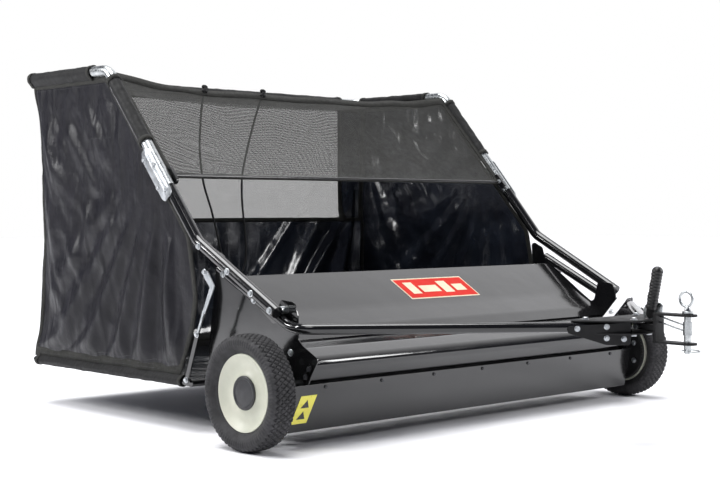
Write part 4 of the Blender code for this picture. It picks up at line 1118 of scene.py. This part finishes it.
def bag_walls():
    """Side and rear walls as one cloth, sewn at the rear corners."""
    heights = stations(WALL_FOOT, WINDOW_SILL, 0.0135, first=0.026)
    heights += stations(WINDOW_SILL, WALL_TOP, 0.0135, last=0.016)[1:]
    shares = stations(0, 1, 0.021, first=0.020, last=0.018)
    bm = blank_cloth()
    for tag, side in ((LEFT_WALL, -1), (RIGHT_WALL, 1)):
        rows = []
        for z in heights:
            front = wall_front(z)
            rows.append([(at(side * HOPPER_X, front + (WALL_REAR - front) * s, z),
                          (front + (WALL_REAR - front) * s, z)) for s in shares])
        panel(bm, rows, tag, (1, 1), (1, 1))
    columns = stations(-HOPPER_X, -WINDOW_HALF, 0.0155) + stations(-WINDOW_HALF, WINDOW_HALF, 0.0162)[1:]
    columns += stations(WINDOW_HALF, HOPPER_X, 0.0155)[1:]
    edge = [x for x in columns if x <= -WINDOW_HALF + 1e-6]
    pane = [x for x in columns if abs(x) <= WINDOW_HALF + 1e-6]
    sill = [z for z in heights if z <= WINDOW_SILL + 1e-6]
    above = [z for z in heights if z >= WINDOW_SILL - 1e-6]

    def rear(xs, zs):
        return [[(at(x, WALL_REAR, z), (x, z)) for x in xs] for z in zs]
    panel(bm, rear(columns, sill), REAR_WALL, (1, 1))
    panel(bm, rear(edge, above), REAR_WALL, (0, 1), (1, 1))
    panel(bm, rear([-x for x in edge[::-1]], above), REAR_WALL, (0, 1), (1, 1))
    panel(bm, rear(pane, above), PANE, (0, 1))
    walls = cloth_mesh("bag_walls", bm)
    held = []
    for v in walls.data.vertices:
        y, z = v.co.y - AXLE_Y, v.co.z
        top, foot = z > WALL_TOP - 0.001, z < WALL_FOOT + 0.001
        front = abs(v.co.x) > HOPPER_X - 0.001 and y < wall_front(z) + 0.001
        if top or foot or front:
            held.append(v.index)
            continue
        free = smooth_step(0, 0.06, min(z - WALL_FOOT, WALL_TOP - z))
        corner_pull = 0.016 * math.sin(math.pi * (z - WALL_FOOT) / (WALL_TOP - WALL_FOOT)) ** 0.8
        ripple = 0.014 * wobble(0, z * 6, math.copysign(3, v.co.x))
        if abs(v.co.x) > HOPPER_X - 0.001:
            side = math.copysign(1, v.co.x)
            seam = smooth_step(WALL_REAR, WALL_REAR - 0.10, y)
            edge_free = smooth_step(0, 0.05, y - wall_front(z))
            v.co.x += side * side_folds(y, z, 1.7 + 2.3 * side) * free * edge_free * (0.35 + 0.65 * seam)
            v.co.x -= side * corner_pull * (1 - seam) * free
            v.co.y -= (corner_pull * 0.6 + ripple) * (1 - seam) * free
        else:
            x = v.co.x
            seam = smooth_step(HOPPER_X, HOPPER_X - 0.12, abs(x))
            belly = 0.010 * (1 - (x / HOPPER_X) ** 2)
            soft = 0.010 * wobble(x * 3.5, z * 1.8, 21)
            crease = ridges(x * 5 + z * 2, z * 4, 8.0)
            heavy = sum(high * math.exp(-((x - foot - lean * (z - 0.35)) / wide) ** 2)
                        for foot, lean, wide, high in REAR_FOLDS) * smooth_step(0.66, 0.56, z)
            v.co.y += (belly + soft - 0.0055 * crease - heavy) * free * seam
            v.co.y -= (corner_pull * 0.6 + ripple) * (1 - seam) * free
            v.co.x -= math.copysign(corner_pull, x) * (1 - seam) * free
    settle(walls, held, 22, 0.012)
    return walls


def bag_nets():
    """The mesh roof and the wind guard as one cloth that folds over the hopper's front edge."""
    half = HOPPER_X - TUBE
    columns = stations(-half, half, 0.0165, first=0.014, last=0.014)
    edge = Vector((CORNER.x - 0.004, CORNER.y - 0.006))
    roof_rear = Vector((WALL_REAR - 0.004, WALL_TOP + 0.006))
    bm = blank_cloth()
    rows = []
    for y in stations(edge.x, roof_rear.x, 0.0165, first=0.016, last=0.016):
        share = (y - edge.x) / (roof_rear.x - edge.x)
        rows.append([(at(x, y, edge.y + (roof_rear.y - edge.y) * share), (x, y)) for x in columns])
    panel(bm, rows, ROOF, (1, 1), (1, 1))
    length = (GUARD_HEM - edge).length
    rows = []
    for d in stations(0, length, 0.0165, first=0.024, last=0.018):
        p = edge.lerp(GUARD_HEM, d / length)
        rows.append([(at(x, *p), (x, edge.x - d)) for x in columns])
    panel(bm, rows, GUARD, (1, 1), (1, 1))
    nets = cloth_mesh("bag_nets", bm)
    held = []
    for v in nets.data.vertices:
        x, y, z = v.co.x, v.co.y - AXLE_Y, v.co.z
        middle_share = 1 - (x / half) ** 2
        if abs(x) > half - 0.001 or y > roof_rear.x - 0.001 or z < GUARD_HEM.y + 0.001:
            held.append(v.index)
            continue
        wave = 0.007 * wobble(x * 4.2, 0.3, 5) + 0.003 * wobble(x * 11, 0.7, 2)
        if y >= edge.x - 0.001:
            back = (y - edge.x) / (roof_rear.x - edge.x)
            sag = (0.021 * (1 - back) + 0.030 * math.sin(math.pi * back)) * middle_share ** 0.8
            v.co.z -= sag - wave * (1 - back)
            v.co.z += 0.003 * wobble(x * 6, y * 9, 1) * math.sin(math.pi * back)
            v.co.y += 0.006 * middle_share * (1 - back)
        else:
            share = (edge - Vector((y, z))).length / length
            v.co.z -= 0.021 * middle_share ** 0.8 * (1 - share) - wave * (1 - share)
            v.co.y += 0.006 * middle_share * (1 - share)
            bow = 0.010 * math.sin(math.pi * share) * middle_share + 0.004 * wobble(x * 5, share * 3, 3)
            v.co.y += bow * STEEP.y * math.sin(math.pi * share)
            v.co.z -= bow * STEEP.x * math.sin(math.pi * share)
    settle(nets, held, 16, 0.010)
    return nets


def settle(obj, held, frames, cap):
    """Cloth simulation from the shaped cloth, held at some points, none moving further than cap."""
    start = [v.co.copy() for v in obj.data.vertices]
    group = obj.vertex_groups.new(name="held")
    group.add(held, 1.0, "REPLACE")
    step = obj.modifiers.new("cloth", "CLOTH")
    cloth = step.settings
    cloth.vertex_group_mass = "held"
    cloth.quality = 5
    cloth.mass = 0.15
    cloth.tension_stiffness = 40
    cloth.compression_stiffness = 40
    cloth.shear_stiffness = 15
    cloth.bending_stiffness = 0.3
    cloth.air_damping = 2
    step.point_cache.frame_start = 1
    step.point_cache.frame_end = frames
    scene = bpy.context.scene
    for f in range(1, frames + 1):
        scene.frame_set(f)
    shaped = obj.evaluated_get(bpy.context.evaluated_depsgraph_get()).to_mesh()
    moved = [v.co.copy() for v in shaped.vertices]
    obj.modifiers.remove(step)
    scene.frame_set(1)
    for v, a, b in zip(obj.data.vertices, start, moved):
        shift = b - a
        if shift.length > cap:
            shift *= cap / shift.length
        v.co = a + shift


def cut_out(source, name, tags, finish, outward, thickness=0.0, lining=None, banded=False,
            stands_for=None):
    """A piece of cloth from the sewn mesh: the faces with these tags, or only their bands."""
    bm = bmesh.new()
    bm.from_mesh(source.data)
    mark, band = bm.faces.layers.int["panel"], bm.faces.layers.int["band"]
    drop = [f for f in bm.faces if f[mark] not in tags or (banded and not f[band])]
    bmesh.ops.delete(bm, geom=drop, context="FACES")
    bm.normal_update()
    if sum((f.normal for f in bm.faces), Vector()).dot(Vector(outward)) < 0:
        bmesh.ops.reverse_faces(bm, faces=bm.faces)
    obj = linked_mesh(name, bm)
    mesh = obj.data
    mesh.shade_smooth()
    for key in ("panel", "band"):
        mesh.attributes.remove(mesh.attributes[key])
    mesh.materials.append(materials[finish])
    finer = obj.modifiers.new("finer", "SUBSURF")
    finer.levels = finer.render_levels = 1
    finer.boundary_smooth = "PRESERVE_CORNERS"
    if thickness:
        thick = thicken(obj, thickness, 0)
        if lining:
            mesh.materials.append(materials[lining])
            thick.material_offset = 1
            thick.material_offset_rim = 0
    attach(obj, "hopper")
    if stands_for:
        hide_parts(stands_for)
    return obj


def stitches(name, surface, lines, outward):
    """Rows of thread on a cloth: a short bead at each stitch along lines given on the flat cloth."""
    bm_surface = bmesh.new()
    bm_surface.from_mesh(surface.data)
    tree = BVHTree.FromBMesh(bm_surface)
    bm_surface.free()
    bm = bmesh.new()
    out = Vector(outward)
    for line in lines:
        spots = []
        for p in evenly(line, STITCH):
            place, normal, _, _ = tree.find_nearest(p)
            spots.append((place, normal if normal.dot(out) >= 0 else -normal))
        for (p, n), (q, _) in zip(spots, spots[1:]):
            along = q - p
            if along.length < 1e-5:
                continue
            along.normalize()
            side = along.cross(n).normalized() * 0.00045
            a, b = p + along * 0.0008, p + along * (STITCH - 0.0010)
            low = [bm.verts.new(c + shift + n * 0.0011)
                   for c, shift in ((a, side), (a, -side), (b, -side), (b, side))]
            top = bm.verts.new((a + b) / 2 + n * 0.0019)
            bm.faces.new(low)
            for j in range(4):
                bm.faces.new((low[j], low[(j + 1) % 4], top))
    return placed(name, bm, "thread", "hopper", 60)


def sleeve(name, path, radius, tail, up, seed):
    """A cloth sleeve round a tube, drawn out towards the wall it is sewn to, with hemmed ends."""
    sides = 26
    step = 0.006
    pts = evenly(path, step)
    total = (len(pts) - 1) * step

    def section(share, extra=0.0):
        ring = []
        for k in range(sides):
            a = -math.pi / 2 + 2 * math.pi * k / sides
            ripple = wobble(share * total * 34, math.cos(a) * 1.3 + seed, math.sin(a) * 1.3)
            fine = wobble(share * total * 90, math.cos(a) * 2.5, math.sin(a) * 2.5 + seed)
            r = radius + 0.0013 + 0.0013 * ripple + 0.0006 * fine + extra
            droop = max(0.0, -math.sin(a)) ** 6 * tail * (1 + 0.12 * ripple)
            ring.append((r * math.cos(a) * (1 - 0.35 * (droop > 0) * max(0.0, -math.sin(a)) ** 3),
                         r * math.sin(a) - droop))
        return ring
    bm = bmesh.new()
    sweep(bm, pts, section, up=up, caps=False)
    body = placed(name, bm, "sleeve_fabric", "hopper", 60)
    thicken(body, 0.0010, 1)
    bm = bmesh.new()
    ends = 3
    reach = (ends - 1) / (len(pts) - 1)
    for part, base in ((pts[:ends], 0.0), (pts[-ends:], (len(pts) - ends) / (len(pts) - 1))):
        sweep(bm, part, lambda s, b=base: section(b + s * reach, 0.0018), up=up, caps=False)
    hem = placed(name + "_hems", bm, "hem_fabric", "hopper", 60)
    thicken(hem, 0.0012, 1)
    return [body, hem]


def side_walls(walls):
    """Both side walls with their hems, stitches, sleeves and piping."""
    rear = WALL_REAR - 0.01
    across = Vector((STEEP.y, -STEEP.x))
    for (side_name, side), tag in zip(SIDES, (LEFT_WALL, RIGHT_WALL)):
        out = (side, 0, 0)
        x = side * HOPPER_X
        wall = cut_out(walls, "side_wall_" + side_name, (tag,), "bag_fabric", out, 0.0011,
                       "bag_lining", stands_for="bag_side_" + side_name)
        hems = cut_out(walls, "side_hems_" + side_name, (tag,), "hem_fabric", out, 0.0030,
                       banded=True)
        lines = [[at(x, 0.365, WALL_FOOT + d), at(x, rear, WALL_FOOT + d)] for d in (0.012, 0.022, 0.034)]
        lines += [[at(x, 0.70, WALL_TOP - d), at(x, rear, WALL_TOP - d)] for d in (0.006, 0.021)]
        lines += [[at(x, WALL_REAR - d, z) for z in (WALL_FOOT + 0.01, WALL_TOP - 0.01)]
                  for d in (0.006, 0.018)]
        lines += [[at(x, wall_front(z) + 0.012, z) for z in stations(0.26, 0.88, 0.01)]]
        lines += [[at(x, 0.80, 0.735), at(x, 0.66, 0.735)]]
        thread = stitches("side_stitches_" + side_name, walls, lines, out)
        steep = [at(x, *(SPLICE + STEEP * d)) for d in stations(0.153, 0.383, 0.01)]
        cover = sleeve("steep_sleeve_" + side_name, steep, TUBE, 0.006, (0, -STEEP.y, STEEP.x), 3 + side)
        top = [at(x, y, CORNER.y) for y in stations(CORNER.x + 0.072, REAR_TOP.x - 0.030, 0.01)]
        cover += sleeve("top_sleeve_" + side_name, top, TUBE, 0.006, (0, 0, 1), 7 + side)
        foot = [at(x, y, FLOOR_Z) for y in stations(FLOOR_FRONT + 0.040, FLOOR_REAR - 0.030, 0.01)]
        cover += sleeve("foot_sleeve_" + side_name, foot, FLOOR_TUBE, 0.004, (0, 0, -1), 9 + side)
        bm = bmesh.new()
        edge = [at(x + side * 0.004, *(SPLICE + STEEP * d + across * 0.0195))
                for d in stations(0.150, 0.379, 0.01)]
        sweep(bm, edge, circle(0.0017, 10), up=(side, 0, 0))
        piping = placed("side_piping_" + side_name, bm, "piping", "hopper", 60)


def rear_walls(walls):
    """The rear wall with its hems, stitches and sleeves, and its net window."""
    out = (0, 1, 0)
    wall = cut_out(walls, "rear_wall", (REAR_WALL,), "bag_fabric", out, 0.0011, "bag_lining",
                   stands_for="bag_rear")
    hems = cut_out(walls, "rear_hems", (REAR_WALL, PANE), "hem_fabric", out, 0.0030,
                   banded=True)

    def level(reach, z):
        """A line across the wall."""
        return [at(-reach, WALL_REAR, z), at(reach, WALL_REAR, z)]

    def upright(x, z0, z1):
        """A line up the wall."""
        return [at(x, WALL_REAR, z0), at(x, WALL_REAR, z1)]
    lines = []
    for d in (0.006, 0.020):
        lines += [level(HOPPER_X - 0.01, WALL_FOOT + d), level(HOPPER_X - 0.01, WALL_TOP - d),
                  level(WINDOW_HALF, WINDOW_SILL - d + 0.004)]
        for side in (-1, 1):
            lines.append(upright(side * (WINDOW_HALF + d - 0.002), WINDOW_SILL, WALL_TOP - 0.01))
            lines.append(upright(side * (HOPPER_X - d), WALL_FOOT + 0.01, WALL_TOP - 0.01))
    thread = stitches("rear_stitches", walls, lines, out)
    seam = Vector((WALL_REAR - REAR_TOP.x, WALL_TOP - REAR_TOP.y))
    bar = [at(x, *REAR_TOP) for x in stations(-0.560, 0.560, 0.01)]
    cover = sleeve("rear_sleeve", bar, TUBE, seam.length - TUBE - 0.002, (0, -seam.x, -seam.y), 2)
    seam = Vector((WALL_REAR - FLOOR_REAR, WALL_FOOT - FLOOR_Z))
    bar = [at(x, FLOOR_REAR, FLOOR_Z) for x in stations(-0.595, 0.595, 0.01)]
    cover += sleeve("rear_foot_sleeve", bar, FLOOR_TUBE, seam.length - FLOOR_TUBE, (0, -seam.x, -seam.y), 5)
    pane = cut_out(walls, "rear_window", (PANE,), "window_mesh", out,
                   stands_for="bag_rear_window")


def net_panels(nets):
    """The mesh roof and the wind guard with their hems, stitches and hem rod."""
    up = (0, 0, 1)
    half = HOPPER_X - TUBE
    roof = cut_out(nets, "mesh_roof", (ROOF,), "guard_mesh", up, stands_for="bag_roof")
    guard = cut_out(nets, "wind_guard_mesh", (GUARD,), "guard_mesh", up,
                    stands_for="wind_guard")
    roof_hems = cut_out(nets, "roof_hems", (ROOF,), "hem_fabric", up, 0.0030, banded=True)
    guard_hems = cut_out(nets, "guard_hems", (GUARD,), "hem_fabric", up, 0.0032, banded=True)
    edge = CORNER - Vector((0.004, 0.006))
    lines = [[at(x, *edge.lerp(GUARD_HEM, share)) for x in (-half + 0.01, half - 0.01)]
             for share in (0.052, 0.958)]
    thread = stitches("guard_stitches", nets, lines, (0, -1, 0.5))
    reach = half - 0.0005
    rod = [at(x, GUARD_HEM.x + 0.003, GUARD_HEM.y + 0.005) for x in stations(-reach, reach, 0.02)]
    stick = pipe("guard_hem_rod", rod, 0.0042, 16, "hopper")


def bag_bottom():
    """The floor cloth, slung between the floor tubes."""
    half = HOPPER_X - FLOOR_TUBE - 0.001
    front, rear = FLOOR_FRONT + 0.010, WALL_REAR + 0.002
    bm = blank_cloth()
    rows = []
    for y in stations(front, rear, 0.02):
        row = []
        for x in stations(-half, half, 0.021):
            share = (y - front) / (rear - front)
            sling = (1 - (x / half) ** 2) ** 0.7 * math.sin(math.pi * share) ** 0.7
            z = FLOOR_Z - 0.002 - sling * (0.014 + 0.004 * ridges(x * 4, y * 6, 31.0))
            row.append((at(x, y, z), (x, y)))
        rows.append(row)
    panel(bm, rows, FLOOR)
    flat = cloth_mesh("bag_bottom_cut", bm)
    floor = cut_out(flat, "bag_bottom", (FLOOR,), "bag_lining", (0, 0, 1), 0.0012,
                    stands_for="bag_floor")
    bpy.data.objects.remove(flat)
    bar = [at(x, FLOOR_FRONT, FLOOR_Z) for x in stations(-0.60, 0.60, 0.01)]
    cover = sleeve("front_foot_sleeve", bar, FLOOR_TUBE, 0.004, (0, -1, 0), 6)


def rope():
    """The dump rope: a free loop tied to the roof's front edge at both ends."""
    y = CORNER.x - 0.006
    route = [(-0.329, y + 0.002, 0.882), (-0.335, y + 0.008, 0.830), (-0.339, y + 0.010, 0.770),
             (-0.339, y + 0.012, 0.705), (-0.325, y + 0.014, 0.620), (-0.295, y + 0.016, 0.540),
             (-0.272, y + 0.018, 0.466), (-0.252, y + 0.020, 0.402), (-0.230, y + 0.022, 0.364),
             (-0.205, y + 0.022, 0.352), (-0.182, y + 0.022, 0.368), (-0.170, y + 0.020, 0.410),
             (-0.174, y + 0.018, 0.480), (-0.186, y + 0.016, 0.560), (-0.188, y + 0.014, 0.640),
             (-0.172, y + 0.010, 0.720), (-0.148, y + 0.008, 0.800), (-0.121, y + 0.002, 0.882)]
    points = smooth_route([at(*p) for p in route], 6)
    radius = 0.0030
    curve = bpy.data.curves.new("dump_cord", "CURVE")
    curve.dimensions = "3D"
    curve.bevel_depth = radius
    curve.bevel_resolution = 4
    curve.use_fill_caps = True
    spline = curve.splines.new("POLY")
    spline.points.add(len(points) - 1)
    for target, p in zip(spline.points, points):
        target.co = (*p, 1)
    curve.materials.append(materials["rope_black"])
    cord = linked("dump_cord", curve)
    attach(cord, "hopper")
    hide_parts("dump_rope")
    for k, end in enumerate((points[0], points[-1])):
        bm = bmesh.new()
        for lift, tilt in ((0.004, 0.5), (-0.002, -0.5), (-0.008, 0.4)):
            axis = Vector((math.sin(tilt), 0.2, math.cos(tilt))).normalized()
            side = axis.orthogonal().normalized()
            other = axis.cross(side)
            centre = end + Vector((0, 0, lift))
            ring = [centre + (side * math.cos(a) + other * math.sin(a)) * 0.0058
                    for a in (2 * math.pi * j / 24 for j in range(24))]
            sweep(bm, ring, circle(0.0031, 10), up=axis, closed=True)
        placed("cord_knot_%d" % (k + 1), bm, "rope_black", "hopper", 60)


# ---------------------------------------------------------------- CAD nodes that stay
def finish_frame():
    """Gives every CAD node its finish, and soft edges to those that stay in view."""
    for part in frame["record"]["subparts"]:
        obj = frame["nodes"][part["node"]]
        finish = "dull_black" if part["node"] in DULL else part["material_slot"]
        finish = "guard_mesh" if finish == "bag_mesh" else finish
        for place in range(len(obj.material_slots)):
            obj.material_slots[place].material = materials[finish]
        if obj.hide_render:
            continue
        obj.data.shade_smooth()
        weld = obj.modifiers.new("weld", "WELD")
        weld.merge_threshold = 0.00001
        if part["node"] in EDGED:
            bevelled(obj, 0.0006, 40, 2, harden=False)
        split = obj.modifiers.new("split", "EDGE_SPLIT")
        split.split_angle = math.radians(38)


materials = make_materials()
camera()
rope()
studio()
for wheel_name, wheel_side in SIDES:
    wheel(wheel_name, wheel_side)
bristles()
housing()
labels()
corner_strap()
hitch()
grip()
pin_and_clip()
hopper_frame()
sewn_walls = bag_walls()
sewn_nets = bag_nets()
side_walls(sewn_walls)
rear_walls(sewn_walls)
net_panels(sewn_nets)
for source in (sewn_walls, sewn_nets):
    bpy.data.objects.remove(source)
bag_bottom()
finish_frame()
